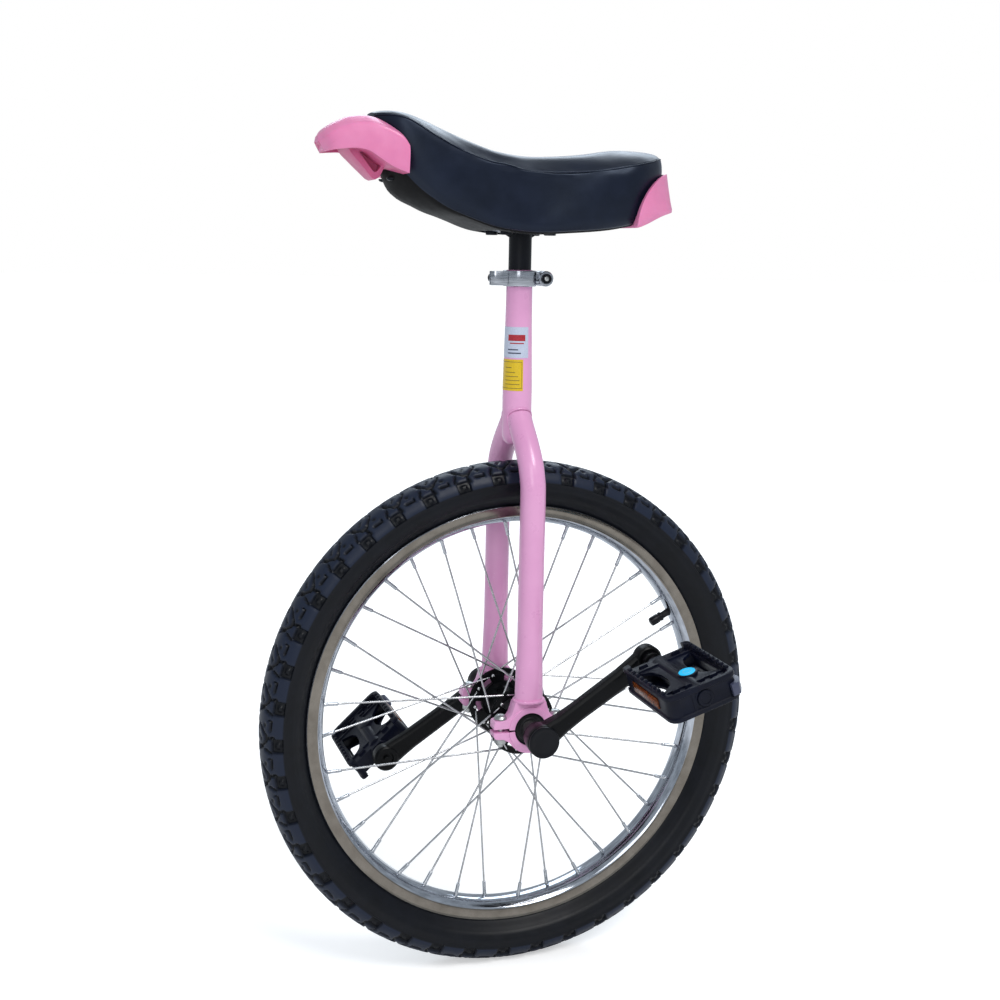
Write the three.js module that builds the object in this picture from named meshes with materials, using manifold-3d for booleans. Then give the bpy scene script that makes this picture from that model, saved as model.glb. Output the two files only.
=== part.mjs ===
// Unicycle, 20 inch wheel. Millimetres, +Z up. The origin is the point on the floor under the
// axle, where the tyre's bottom flat rests. The wheel's axle runs along Y. The rider faces -X,
// so the rider's left side is -Y and the right side is +Y.
import * as THREE from 'three';
import Module from 'manifold-3d';
import { mergeGeometries, mergeVertices } from 'three/addons/utils/BufferGeometryUtils.js';

const wasm = await Module();
wasm.setup();

// ---------------------------------------------------------------- driving dimensions
const GAP = 0.3;                 // clearance between touching pieces
const AXLE_Z = 252.1;            // axle height, which is the tyre's outer radius
const WHEEL_SEG = 40;            // facets around the wheel
const TYRE_HALF_WIDTH = 26.4;
const RIM_R = 211;               // outer edge of the rim's flanges
const RIM_HALF_WIDTH = 14.6;
const BED_R = 191.8;             // inner face of the spoke bed
const SPOKES_PER_SIDE = 18;
const SPOKE_R = 1.0;
const FLANGE_Y = 31;             // hub flange centre from the wheel's middle plane
const FLANGE_R = 32;
const SPOKE_HOLE_R = 28;
const FIRST_SPOKE = 3.3;         // angle of one right-hand spoke at the rim; the rest are 10 apart
const SPOKE_LEAN = 66;           // angle between a spoke's two ends, seen along the axle
const VALVE_ANGLE = 27.6;        // degrees above +X, seen from the rider's left
const VALVE_TIP_R = 174;

const LEG_Y = 50;                // fork legs and bearings: 100 mm centre to centre
const LEG_R = 12.2;
const LEG_BOTTOM_Z = 279;
const SEAT_TUBE_TOP_Z = 691;
const SEAT_TUBE_BOTTOM_Z = 519;
const SEAT_TUBE_R_TOP = 12.7;
const SEAT_TUBE_R_LOW = 14.3;
const SEAT_TUBE_BORE_R = 11.45;

const BEARING_R = 20;            // outer ring
const BEARING_MID_R = 14;        // inner ring's outside
const BEARING_HALF_WIDTH = 6;
const AXLE_R = 8.5;
const HOLDER_HALF_THICK = 6.5;
const CAP_BOLT_X = 28;

const POST_R = 11.1;             // 22.2 mm seat post
const POST_BOTTOM_Z = 560;
const CLAMP_Z = [675.2, 690.5];
const CLAMP_BOLT_X = 24;

const CRANK_LENGTH = 127;
const CRANK_ANGLE = 34.2;        // left crank above +X; the right crank is opposite
const CRANK_ROOT_Y = 84;
const CRANK_END_Y = 89;
const PEDAL_Y = [115, 211];      // inner and outer edge of the platform
const PEDAL_HALF_LENGTH = 35;
const PEDAL_HALF_THICK = 12.5;
const PEDAL_TILT = { left: 18, right: 43 };

// ---------------------------------------------------------------- solid helpers
const rad = (d) => (d * Math.PI) / 180;

function positionsOnly(geometry) {
  const g = new THREE.BufferGeometry();
  g.setAttribute('position', geometry.getAttribute('position').clone());
  if (geometry.index) g.setIndex(geometry.index.clone());
  return g;
}

function toSolid(geometry) {
  const m = mergeVertices(positionsOnly(geometry), 1e-4);
  const p = m.getAttribute('position');
  const idx = m.index.array;
  const keep = [];
  for (let i = 0; i < idx.length; i += 3) {
    const [a, b, c] = [idx[i], idx[i + 1], idx[i + 2]];
    if (a !== b && b !== c && a !== c) keep.push(a, b, c);
  }
  return new wasm.Manifold(new wasm.Mesh({
    numProp: 3,
    vertProperties: new Float32Array(p.array),
    triVerts: new Uint32Array(keep),
  }));
}

function toGeometry(solid) {
  const m = solid.getMesh();
  const g = new THREE.BufferGeometry();
  const pos = new Float32Array((m.vertProperties.length / m.numProp) * 3);
  for (let i = 0; i < pos.length / 3; i++) {
    for (let k = 0; k < 3; k++) pos[3 * i + k] = m.vertProperties[i * m.numProp + k];
  }
  g.setAttribute('position', new THREE.BufferAttribute(pos, 3));
  g.setIndex(new THREE.BufferAttribute(new Uint32Array(m.triVerts), 1));
  return g;
}

const union = (...s) => s.reduce((a, b) => a.add(b));
const cut = (a, ...s) => s.reduce((x, b) => x.subtract(b), a);

// Ring or disc turned about the wheel axis (Y); profile is a list of [radius, y].
function turnedY(profile, seg, closed = true) {
  const pts = profile.map(([r, y]) => new THREE.Vector2(r, y));
  if (closed) pts.push(pts[0].clone());
  const g = new THREE.LatheGeometry(pts, seg, Math.PI / seg, Math.PI * 2);
  return orient(g);
}

// Same, turned about the vertical axis; profile is a list of [radius, z].
function turnedZ(profile, seg, closed = true) {
  const g = turnedY(profile, seg, closed);
  g.rotateX(Math.PI / 2);
  return g;
}

// Makes a closed mesh's faces point outwards.
function orient(source) {
  const g = source.index ? source : mergeVertices(positionsOnly(source), 1e-4);
  const p = g.getAttribute('position');
  const idx = g.index.array;
  let v = 0;
  const A = new THREE.Vector3(), B = new THREE.Vector3(), C = new THREE.Vector3();
  for (let i = 0; i < idx.length; i += 3) {
    A.fromBufferAttribute(p, idx[i]); B.fromBufferAttribute(p, idx[i + 1]);
    C.fromBufferAttribute(p, idx[i + 2]);
    v += A.dot(B.cross(C));
  }
  if (v < 0) for (let i = 0; i < idx.length; i += 3) [idx[i + 1], idx[i + 2]] = [idx[i + 2], idx[i + 1]];
  return g;
}

const moved = (g, x, y, z) => g.translate(x, y, z);

function box(x0, x1, y0, y1, z0, z1) {
  return moved(new THREE.BoxGeometry(x1 - x0, y1 - y0, z1 - z0),
    (x0 + x1) / 2, (y0 + y1) / 2, (z0 + z1) / 2);
}

// Plain cylinder along y, x or z between two stations.
function rod(axis, r0, a, b, seg = 16, r1 = r0) {
  const g = new THREE.CylinderGeometry(r1, r0, b - a, seg);
  g.translate(0, (a + b) / 2, 0);
  if (axis === 'z') g.rotateX(Math.PI / 2);
  if (axis === 'x') g.rotateZ(-Math.PI / 2);
  return g;
}

// Outline in the X-Z plane given depth along Y, from y0 to y1.
function plateXZ(points, y0, y1) {
  const shape = new THREE.Shape(points.map(([x, z]) => new THREE.Vector2(x, z)));
  const g = new THREE.ExtrudeGeometry(shape, { depth: y1 - y0, bevelEnabled: false, curveSegments: 12 });
  g.rotateX(Math.PI / 2);          // shape plane to X-Z, depth towards -Y
  g.translate(0, y1, 0);
  return g;
}

function arc(cx, cz, r, a0, a1, n) {
  return Array.from({ length: n + 1 }, (_, i) => {
    const a = rad(a0 + ((a1 - a0) * i) / n);
    return [cx + r * Math.cos(a), cz + r * Math.sin(a)];
  });
}

// Closed solid through a list of equal-length rings of points, with flat ends.
function loft(rings) {
  const n = rings[0].length;
  const pos = rings.flat(2);
  const idx = [];
  for (let s = 0; s + 1 < rings.length; s++) {
    for (let i = 0; i < n; i++) {
      const a = s * n + i, b = s * n + ((i + 1) % n), c = a + n, d = b + n;
      idx.push(a, b, c, b, d, c);
    }
  }
  for (const [s, flip] of [[0, false], [rings.length - 1, true]]) {
    const ring = rings[s];
    const c = pos.length / 3;
    for (let k = 0; k < 3; k++) pos.push(ring.reduce((t, q) => t + q[k], 0) / n);
    for (let i = 0; i < n; i++) {
      const a = s * n + i, b = s * n + ((i + 1) % n);
      if (flip) idx.push(c, a, b); else idx.push(c, b, a);
    }
  }
  const g = new THREE.BufferGeometry();
  g.setAttribute('position', new THREE.Float32BufferAttribute(pos, 3));
  g.setIndex(idx);
  return orient(g);
}

const group = new THREE.Group();
group.name = 'unicycle';

const FINISH = {
  pink_paint: [0xe4a5d2, 0.35, 0.0],
  pink_plastic: [0xf48fbe, 0.45, 0.0],
  black_plastic: [0x18191c, 0.55, 0.0],
  black_metal: [0x121317, 0.35, 0.6],
  black_vinyl: [0x16181d, 0.45, 0.0],
  foam: [0x3a3a3e, 0.95, 0.0],
  tyre: [0x17181c, 0.75, 0.0],
  tube: [0x101012, 0.6, 0.0],
  tape: [0x8a2f2f, 0.7, 0.0],
  chrome: [0xc9c6bd, 0.15, 1.0],
  steel: [0xb9bcc2, 0.3, 1.0],
  alloy: [0xc2c5ca, 0.4, 1.0],
  amber: [0xc86a1c, 0.2, 0.0],
};

function piece(name, solid, finish) {
  const g = solid.isBufferGeometry ? toGeometry(toSolid(solid)) : toGeometry(solid);
  const [color, roughness, metalness] = FINISH[finish];
  const mesh = new THREE.Mesh(g, new THREE.MeshStandardMaterial({ color, roughness, metalness }));
  mesh.name = name;
  group.add(mesh);
}

const SIDES = [['left', -1], ['right', 1]];

// ---------------------------------------------------------------- frame
function legPath(side) {
  const pts = [[7, 555], [17, 545.5], [28, 535.5], [38, 524], [45.2, 511], [48.8, 496],
    [LEG_Y, 480], [LEG_Y, 400], [LEG_Y, 330], [LEG_Y, LEG_BOTTOM_Z]];
  return pts.map(([y, z]) => new THREE.Vector3(0, side * y, z));
}

function forkLeg(side) {
  const pts = legPath(side);
  const rings = pts.map((p, i) => {
    const a = pts[Math.max(0, i - 1)], b = pts[Math.min(pts.length - 1, i + 1)];
    const t = b.clone().sub(a).normalize();
    if (i >= pts.length - 4) t.set(0, 0, -1);
    const u = new THREE.Vector3(1, 0, 0), v = new THREE.Vector3().crossVectors(t, u);
    // towards the foot the tube is pressed a little flatter
    const [rx, ry] = { 8: [13.3, 11.4], 9: [13.9, 11] }[i] ?? [LEG_R, LEG_R];
    return Array.from({ length: 16 }, (_, k) => {
      const w = rad(22.5 * k + 11.25);
      const q = p.clone().addScaledVector(u, Math.cos(w) * rx).addScaledVector(v, Math.sin(w) * ry);
      return [q.x, q.y, q.z];
    });
  });
  let s = toSolid(loft(rings));
  const tube = toSolid(rod('z', SEAT_TUBE_R_LOW + GAP, 500, 600, 24));
  s = cut(s, tube);
  // keep only the outer part, past the seat tube
  const keep = side < 0 ? box(-40, 40, -80, 0, 200, 600) : box(-40, 40, 0, 80, 200, 600);
  const parts = s.intersect(toSolid(keep)).decompose();
  parts.sort((a, b) => b.volume() - a.volume());
  return parts[0];
}

function seatTube() {
  const outer = turnedZ([[0, SEAT_TUBE_BOTTOM_Z], [9, SEAT_TUBE_BOTTOM_Z + 0.8],
    [SEAT_TUBE_R_LOW - 1, SEAT_TUBE_BOTTOM_Z + 5], [SEAT_TUBE_R_LOW, SEAT_TUBE_BOTTOM_Z + 12],
    [SEAT_TUBE_R_LOW, 575], [SEAT_TUBE_R_TOP + 0.1, 662], [SEAT_TUBE_R_TOP, 674],
    [SEAT_TUBE_R_TOP, SEAT_TUBE_TOP_Z], [0, SEAT_TUBE_TOP_Z]], 24, false);
  const bore = rod('z', SEAT_TUBE_BORE_R, SEAT_TUBE_BOTTOM_Z + 8, SEAT_TUBE_TOP_Z + 5, 24);
  const slot = box(-20, -6, -1.2, 1.2, 656, SEAT_TUBE_TOP_Z + 5);
  return cut(toSolid(outer), toSolid(bore), toSolid(slot));
}

function bearingHolder(side) {
  const z = AXLE_Z;
  const top = LEG_BOTTOM_Z - GAP - z;
  const outline = [[-36.5, z + 2], [-36.5, z + 8], [-34, z + 10], [-21.8, z + 10.3], [-18.6, z + 15],
    [-17, z + 21], [-14.5, z + top], [14.5, z + top], [17, z + 21], [18.6, z + 15],
    [21.8, z + 10.3], [34, z + 10], [36.5, z + 8], [36.5, z + 2],
    ...arc(0, z, BEARING_R + GAP, 6, 174, 12)];
  const s = toSolid(orient(plateXZ(outline, side * LEG_Y - HOLDER_HALF_THICK,
    side * LEG_Y + HOLDER_HALF_THICK)));
  return cut(s, ...[-1, 1].map((e) => toSolid(moved(rod('z', 3.2, z - 5, z + 20, 8),
    e * CAP_BOLT_X, side * LEG_Y, 0))));
}

function bearingCap(side) {
  const z = AXLE_Z;
  const outline = [[36.5, z - 1.5], [36.5, z - 6.5], [23.6, z - 7],
    ...arc(0, z, BEARING_R + 3.4, -24, -156, 10), [-23.6, z - 7], [-36.5, z - 6.5], [-36.5, z - 1.5],
    ...arc(0, z, BEARING_R + GAP, -175, -5, 12)];
  const s = toSolid(orient(plateXZ(outline, side * LEG_Y - HOLDER_HALF_THICK,
    side * LEG_Y + HOLDER_HALF_THICK)));
  return cut(s, ...[-1, 1].map((e) => toSolid(moved(rod('z', 3.2, z - 20, z + 5, 8),
    e * CAP_BOLT_X, side * LEG_Y, 0))));
}

function capBolt(side, e) {
  const z = AXLE_Z;
  const head = turnedZ([[0, z + 10.8], [6, z + 10.8], [6, z + 11.8], [4.2, z + 13.4], [0, z + 14.2]],
    8, false);
  const shank = rod('z', 2.7, z - 17, z + 11, 8);
  return union(toSolid(moved(head, e * CAP_BOLT_X, side * LEG_Y, 0)),
    toSolid(moved(shank, e * CAP_BOLT_X, side * LEG_Y, 0)));
}

function capNut(side, e) {
  const z = AXLE_Z;
  const nut = rod('z', 5.8, z - 13.4, z - 7.9, 6);
  const hole = rod('z', 3.1, z - 15, z - 6, 8);
  return cut(toSolid(nut), toSolid(hole)).translate([e * CAP_BOLT_X, side * LEG_Y, 0]);
}

function bearingRing(side, r0, r1) {
  const y = side * LEG_Y, h = BEARING_HALF_WIDTH;
  return moved(turnedY([[r0, y - h], [r1, y - h], [r1, y + h], [r0, y + h]], 20), 0, 0, AXLE_Z);
}

piece('seat_tube', seatTube(), 'pink_paint');
for (const [name, s] of SIDES) {
  piece(`${name}_fork_leg`, forkLeg(s), 'pink_paint');
  piece(`${name}_bearing_holder`, bearingHolder(s), 'pink_paint');
  piece(`${name}_bearing_cap`, bearingCap(s), 'pink_paint');
  for (const [end, e] of [['front', -1], ['rear', 1]]) {
    piece(`${name}_${end}_cap_bolt`, capBolt(s, e), 'steel');
    piece(`${name}_${end}_cap_nut`, capNut(s, e), 'steel');
  }
  piece(`${name}_bearing_outer_ring`, bearingRing(s, BEARING_MID_R + GAP, BEARING_R - 0.05), 'steel');
}

// ---------------------------------------------------------------- seat clamp
function seatClamp() {
  const [z0, z1] = CLAMP_Z;
  const ring = rod('z', 16.4, z0, z1, 20);
  const ears = [-1, 1].map((e) => {
    const lug = box(Math.min(e * 10, e * CLAMP_BOLT_X), Math.max(e * 10, e * CLAMP_BOLT_X),
      -7.5, 7.5, z0 + 1, z1 - 1);
    const barrel = moved(rod('y', 6.6, -9, 9, 12), e * CLAMP_BOLT_X, 0, (z0 + z1) / 2);
    return union(toSolid(lug), toSolid(barrel));
  });
  const bore = rod('z', SEAT_TUBE_R_TOP + 0.5, z0 - 5, z1 + 5, 20);
  const slit = box(8, 40, -1.3, 1.3, z0 - 5, z1 + 5);
  const slitFront = box(-40, -19, -1.3, 1.3, z0 - 5, z1 + 5);
  const holes = [-1, 1].map((e) => toSolid(moved(rod('y', 3.2, -20, 20, 8),
    e * CLAMP_BOLT_X, 0, (z0 + z1) / 2)));
  return cut(union(toSolid(ring), ...ears), toSolid(bore), toSolid(slit), toSolid(slitFront), ...holes);
}

function clampBolt(e) {
  // the rear bolt's socket head faces the rider's left, the front bolt's head the right
  const zc = (CLAMP_Z[0] + CLAMP_Z[1]) / 2;
  const shank = rod('y', 2.8, -8.5, 11, 10);
  const head = rod('y', 5.2, -12.6, -9 - GAP, 12);
  const neck = rod('y', 2.8, -10, -8, 10);
  const socket = rod('y', 2.6, -13, -10.4, 6);
  let s = cut(union(toSolid(shank), toSolid(head), toSolid(neck)), toSolid(socket));
  if (e < 0) s = s.rotate([0, 0, 180]);
  return s.translate([e * CLAMP_BOLT_X, 0, zc]);
}

piece('seat_clamp', seatClamp(), 'alloy');
piece('rear_clamp_bolt', clampBolt(1), 'steel');
piece('front_clamp_bolt', clampBolt(-1), 'steel');

// ---------------------------------------------------------------- saddle
// Stations along X: half width, seam height, crown height, edge of the underside (height, half
// width), and how far the underside's middle hangs below that edge.
const SADDLE = [
  [-152, 22, 824, 831, 800, 14, 8],
  [-142, 36, 824.5, 838, 788, 24, 14],
  [-122, 46, 819.5, 837.5, 775, 34, 15],
  [-96, 51, 809, 825, 753, 40, 9],
  [-66, 54, 798.5, 811.5, 739.5, 45, 3],
  [-34, 57, 790, 801, 729.5, 50, 0],
  [0, 62, 785, 796.8, 726.5, 54, 0],
  [34, 70, 785.5, 798.5, 728.3, 60, 0],
  [68, 76, 789.5, 802.5, 731.5, 65, 0],
  [90, 76, 793, 806.5, 736, 65, 0],
  [110, 67, 797, 809, 741, 57, 0],
  [126, 53, 800, 809.5, 745.5, 44, 0],
  [137, 36, 801.5, 807.5, 750, 29, 0],
  [144, 18, 801, 804, 756, 14, 0],
];
const COVER_THICK = 2.4;
const BASE_THICK = 5;
const SADDLE_BOLTS = { x: [-22, 22], y: [-22, 22] };
const PLATE_Z = 730.5;           // underside of the seat post's plate

// Cross-section ring at one station, shrunk inwards by t.
function saddleRing([x, w, zs, zt, zb, wb, drop], t) {
  const W = w - t, B = Math.max(4, wb - t);
  const half = [
    [W * 0.5, zt - (zt - zs) * 0.16 - t],
    [W * 0.88, zs + (zt - zs) * 0.34 - t * 0.7],
    [W, zs - 4],
    [W * 0.985, zs * 0.5 + zb * 0.5],
    [B, zb],
  ];
  return [[x, 0, zt - t], ...half.map(([y, z]) => [x, y, z]), [x, 0, zb - drop],
    ...half.slice().reverse().map(([y, z]) => [x, -y, z])];
}

function saddleLoft(t) {
  const st = SADDLE.map((s) => s.slice());
  st[0][0] += t;
  st[st.length - 1][0] -= t;
  return toSolid(loft(st.map((s) => saddleRing(s, t))));
}

// Slab that follows the underside's curve, from a to b above it.
function saddleBand(a, b) {
  const rings = SADDLE.map(([x, , , , zb, wb, drop], i) => {
    const X = i === 0 ? x - 40 : i === SADDLE.length - 1 ? x + 40 : x;
    return [[X, -110, zb + a], [X, -wb, zb + a], [X, 0, zb - drop + a], [X, wb, zb + a], [X, 110, zb + a],
      [X, 110, zb + b], [X, wb, zb + b], [X, 0, zb - drop + b], [X, -wb, zb + b], [X, -110, zb + b]];
  });
  return toSolid(loft(rings));
}

const biggest = (s) => s.decompose().sort((a, b) => b.volume() - a.volume())[0];

const hull = saddleLoft(0);
const inside = saddleLoft(COVER_THICK + GAP);
const cover = cut(hull, saddleLoft(COVER_THICK), saddleBand(-60, 2));
const foam = cut(inside, saddleBand(-80, BASE_THICK + 7 + GAP));
const boltSpots = SADDLE_BOLTS.x.flatMap((x) => SADDLE_BOLTS.y.map((y) => [x, y]));
const studs = boltSpots.map(([x, y]) => toSolid(moved(rod('z', 3.3, PLATE_Z - 9, PLATE_Z + 6, 8), x, y, 0)));
const shelf = toSolid(box(-36, 36, -36, 36, PLATE_Z + 4 + GAP, 745));
let base = inside.intersect(saddleBand(1, BASE_THICK + 7));
base = cut(base, toSolid(box(-36, 36, -36, 36, 700, PLATE_Z + 4 + GAP)));
base = union(base, cut(shelf, saddleBand(BASE_THICK + 7, 120)), ...studs);

const SCREWS = [['front_left', -134, -15, 771], ['front_right', -134, 15, 771], ['rear', 124, 0, 744.5]];
const screwRoom = ([, x, y, z]) => union(toSolid(rod('z', 5.1, z - 12, z, 12)),
  toSolid(rod('z', 2.1, z - 2, z + 6, 8))).translate([x, y, 0]);

function frontBumper() {
  // stations along X: half width, crown, shoulder height, lower edge
  const st = [
    [-201, 13, 812, 808, 799], [-197, 26, 817, 813, 796], [-184, 35, 826, 821, 797],
    [-168, 43, 831, 826, 800], [-152, 48, 832, 826.5, 799], [-140, 51.5, 828, 822, 791],
    [-132, 54, 823, 816, 784], [-126, 55, 818, 809, 779],
  ];
  const outer = toSolid(loft(st.map(([x, w, zc, zh, zb]) => [[x, 0, zc], [x, w * 0.6, zc - 1.2],
    [x, w * 0.92, zh], [x, w, zh - 6], [x, w * 0.97, zb], [x, 0, zb], [x, -w * 0.97, zb],
    [x, -w, zh - 6], [x, -w * 0.92, zh], [x, -w * 0.6, zc - 1.2]])));
  const pocket = toSolid(box(-189, -161, -27, 27, 780, 819));
  const grip = toSolid(orient(plateXZ([[-165, 812], [-158, 812], [-148.5, 776], [-154.5, 774]], -27, 27)));
  return biggest(cut(union(cut(outer, pocket), grip), saddleLoft(-GAP),
    toSolid(box(-170, -100, -200, 200, 700, 773))));
}

function rearBumper() {
  // the bumper's outside stands off the cushion, more at its lower edge
  const st = [
    [70, 80, 790, 800, 730, 73], [90, 80.5, 793, 806, 733, 75], [112, 73, 797, 808, 737.5, 70],
    [130, 59, 800, 809, 743, 58], [143, 42, 801, 807, 748.5, 42], [151, 25, 801, 805, 753, 26],
    [155, 10, 801, 803, 757, 12],
  ].map((s) => [...s, 0]);
  const outer = toSolid(loft(st.map((s) => {
    const tall = s[2] - s[4];
    const lean = s[0] > 120 ? (s[0] - 120) * 0.22 : 0;      // the top leans in over the cushion
    return saddleRing(s, 0).map(([x, y, z]) => [x - (lean * Math.max(0, z - s[4])) / tall, y, z]);
  })));
  const shell = cut(outer, saddleLoft(-GAP));
  const reach = toSolid(moved(rod('y', 49, -120, 120, 32), 143, 0, 734));
  return biggest(cut(shell.intersect(reach), screwRoom(SCREWS[2])));
}

// Pan screw under the saddle, head down, shank up into the base.
function panScrew(x, y, z) {
  const head = turnedZ([[0, z - 3.2], [3, z - 3], [4.6, z - 1.6], [4.8, z - GAP], [0, z - GAP]], 12, false);
  return union(toSolid(head), toSolid(rod('z', 1.8, z - 1, z + 5, 8))).translate([x, y, 0]);
}
base = cut(base, ...SCREWS.map(([, x, y, z]) => toSolid(moved(rod('z', 5.1, z - 6, z, 12), x, y, 0))),
  ...SCREWS.map(([, x, y, z]) => toSolid(moved(rod('z', 2.1, z - 6, z + 5.3, 8), x, y, 0))));

function seatPost() {
  const tube = rod('z', POST_R, POST_BOTTOM_Z, PLATE_Z + 1, 24);
  const bore = rod('z', POST_R - 1.8, POST_BOTTOM_Z - 5, PLATE_Z - 3, 24);
  const plate = box(-32, 32, -32, 32, PLATE_Z, PLATE_Z + 4);
  const gusset = plateXZ([[-26, PLATE_Z + 1], [26, PLATE_Z + 1], [10, PLATE_Z - 9], [-10, PLATE_Z - 9]], -1.5, 1.5);
  const holes = boltSpots.map(([x, y]) => toSolid(moved(rod('z', 3.8, PLATE_Z - 5, PLATE_Z + 9, 8), x, y, 0)));
  return cut(union(toSolid(tube), toSolid(plate), toSolid(orient(gusset))), toSolid(bore), ...holes);
}

function saddleNut(x, y) {
  const nut = rod('z', 6.4, PLATE_Z - 6, PLATE_Z - GAP, 6);
  const hole = rod('z', 3.6, PLATE_Z - 9, PLATE_Z + 2, 8);
  return cut(toSolid(nut), toSolid(hole)).translate([x, y, 0]);
}

piece('seat_post', seatPost(), 'black_metal');
piece('saddle_base', base, 'black_plastic');
piece('saddle_foam', foam, 'foam');
piece('saddle_cover', cover, 'black_vinyl');
piece('front_bumper', frontBumper(), 'pink_plastic');
piece('rear_bumper', rearBumper(), 'pink_plastic');
for (const [n, x, y, z] of SCREWS) piece(`${n}_bumper_screw`, panScrew(x, y, z), 'steel');
for (const [x, y] of boltSpots) {
  piece(`saddle_nut_${x < 0 ? 'front' : 'rear'}_${y < 0 ? 'left' : 'right'}`, saddleNut(x, y), 'steel');
}

// ---------------------------------------------------------------- wheel
const atAxle = (g) => moved(g, 0, 0, AXLE_Z);
const faceR = (r) => r / Math.cos(Math.PI / WHEEL_SEG);   // vertex radius for a facet at r

function mirrorY(half, middle = []) {
  return [...half, ...middle, ...half.slice().reverse().map(([r, y]) => [r, -y])];
}

function tyre() {
  const t = faceR(AXLE_Z);
  const out = mirrorY([[203.6, -12.1], [211.6, -12.1], [216, -21], [225, -TYRE_HALF_WIDTH],
    [237, -25.2], [246.2, -18.5], [t, -6.5]]);
  const inn = mirrorY([[203.6, 8.6], [213, 9.4], [227, 22.4], [243.6, 11.6]]);
  return toSolid(atAxle(turnedY([...out, ...inn], WHEEL_SEG)));
}

function innerTube() {
  const outer = mirrorY([[203.9, -7.6], [213, -8.8], [226.9, -21.7], [243.1, -11]]);
  const inner = mirrorY([[206, -5.2], [213.5, -6], [227.2, -18.8], [240.8, -9.4]]);
  const stem = rod('x', 3.6, VALVE_TIP_R + 4, 207, 8);
  const bore = rod('x', 1.4, VALVE_TIP_R, 214, 6);
  const turn = (g) => toSolid(g).rotate([0, -VALVE_ANGLE, 0]);
  const s = cut(union(toSolid(turnedY(outer, WHEEL_SEG)), turn(stem)), toSolid(turnedY(inner, WHEEL_SEG)), turn(bore));
  return s.translate([0, 0, AXLE_Z]);
}

function valveCap() {
  const cap = union(toSolid(rod('x', 4.6, VALVE_TIP_R - 4, 184, 12)));
  return cut(cap, toSolid(rod('x', 3.9, VALVE_TIP_R + 3.7, 190, 10))).rotate([0, -VALVE_ANGLE, 0])
    .translate([0, 0, AXLE_Z]);
}

function rim() {
  const out = mirrorY([[RIM_R, -12.4], [RIM_R, -RIM_HALF_WIDTH], [197.5, -14.3], [194.2, -10.2], [BED_R, -7]]);
  const inn = mirrorY([[203.3, 12.4], [203, 8.2], [195, 7]]);
  const ring = toSolid(turnedY([...out, ...inn], WHEEL_SEG));
  const hole = toSolid(rod('x', 4.1, 185, 215, 12)).rotate([0, -VALVE_ANGLE, 0]);
  return cut(ring, hole).translate([0, 0, AXLE_Z]);
}

function rimTape() {
  const ring = toSolid(turnedY([[195.4, -6.4], [195.4, 6.4], [196.6, 6.4], [196.6, -6.4]], WHEEL_SEG));
  const hole = toSolid(rod('x', 4.1, 185, 215, 12)).rotate([0, -VALVE_ANGLE, 0]);
  return cut(ring, hole).translate([0, 0, AXLE_Z]);
}

// One side's spokes: straight rods, leading and trailing sets on one ruled surface, so crossing
// spokes meet and the side is a single body.
function spokeSet(side) {
  const spokes = [];
  for (let i = 0; i < SPOKES_PER_SIDE; i++) {
    const trail = i % 2 === 0 ? side : -side;
    const rimA = 20 * i + (side < 0 ? FIRST_SPOKE + 10 : FIRST_SPOKE);
    const hubA = rimA + trail * SPOKE_LEAN;
    const p = new THREE.Vector3((SPOKE_HOLE_R + 1.5) * Math.cos(rad(hubA)), side * (FLANGE_Y - 2.6 - SPOKE_R),
      (SPOKE_HOLE_R + 1.5) * Math.sin(rad(hubA)));
    const q = new THREE.Vector3((BED_R - 2.2) * Math.cos(rad(rimA)), side * 2.0, (BED_R - 2.2) * Math.sin(rad(rimA)));
    const dir = q.clone().sub(p);
    const turn = new THREE.Quaternion().setFromUnitVectors(new THREE.Vector3(0, 1, 0), dir.clone().normalize());
    const g = new THREE.CylinderGeometry(SPOKE_R, SPOKE_R, dir.length(), 3);
    g.applyQuaternion(turn);
    const mid = p.clone().add(q).multiplyScalar(0.5);
    spokes.push(toSolid(moved(g, mid.x, mid.y, mid.z)));
  }
  return union(...spokes).translate([0, 0, AXLE_Z]);
}

function hubShell() {
  const half = [[17, -FLANGE_Y + 6], [19, -FLANGE_Y + 2.2], [FLANGE_R, -FLANGE_Y + 2.2],
    [FLANGE_R, -FLANGE_Y - 1.8], [19, -FLANGE_Y - 1.8], [15, -FLANGE_Y - 5]];
  const profile = [[AXLE_R + 1 + GAP, -FLANGE_Y - 5], ...half.slice().reverse(), ...half.map(([r, y]) => [r, -y]),
    [AXLE_R + 1 + GAP, FLANGE_Y + 5]];
  let s = toSolid(turnedY(profile, 20));
  const windows = [0, 60, 120, 180, 240, 300].map((a) => toSolid(moved(rod('y', 3.8, -45, 45, 6), 0, 0, 23.4))
    .rotate([0, a, 0]));
  s = cut(s, ...windows);
  return s.translate([0, 0, AXLE_Z]);
}

function axle() {
  const shaft = turnedY([[0, -68], [AXLE_R - 0.9, -68], [AXLE_R, -66], [AXLE_R, -41], [AXLE_R + 1, -40.5],
    [AXLE_R + 1, 40.5], [AXLE_R, 41], [AXLE_R, 66], [AXLE_R - 0.9, 68], [0, 68]], 20, false);
  const ends = [-1, 1].map((e) => toSolid(box(-5.6, 5.6, Math.min(e * 67, e * 85), Math.max(e * 67, e * 85), -5.6, 5.6))
    .rotate([0, -CRANK_ANGLE, 0]));
  const taps = [-1, 1].map((e) => toSolid(rod('y', 3.7, Math.min(e * 66, e * 88), Math.max(e * 66, e * 88), 10)));
  return cut(union(toSolid(shaft), ...ends), ...taps).translate([0, 0, AXLE_Z]);
}

const BOSS_TAPER = { '-1': [12.6], 1: [] };
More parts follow.
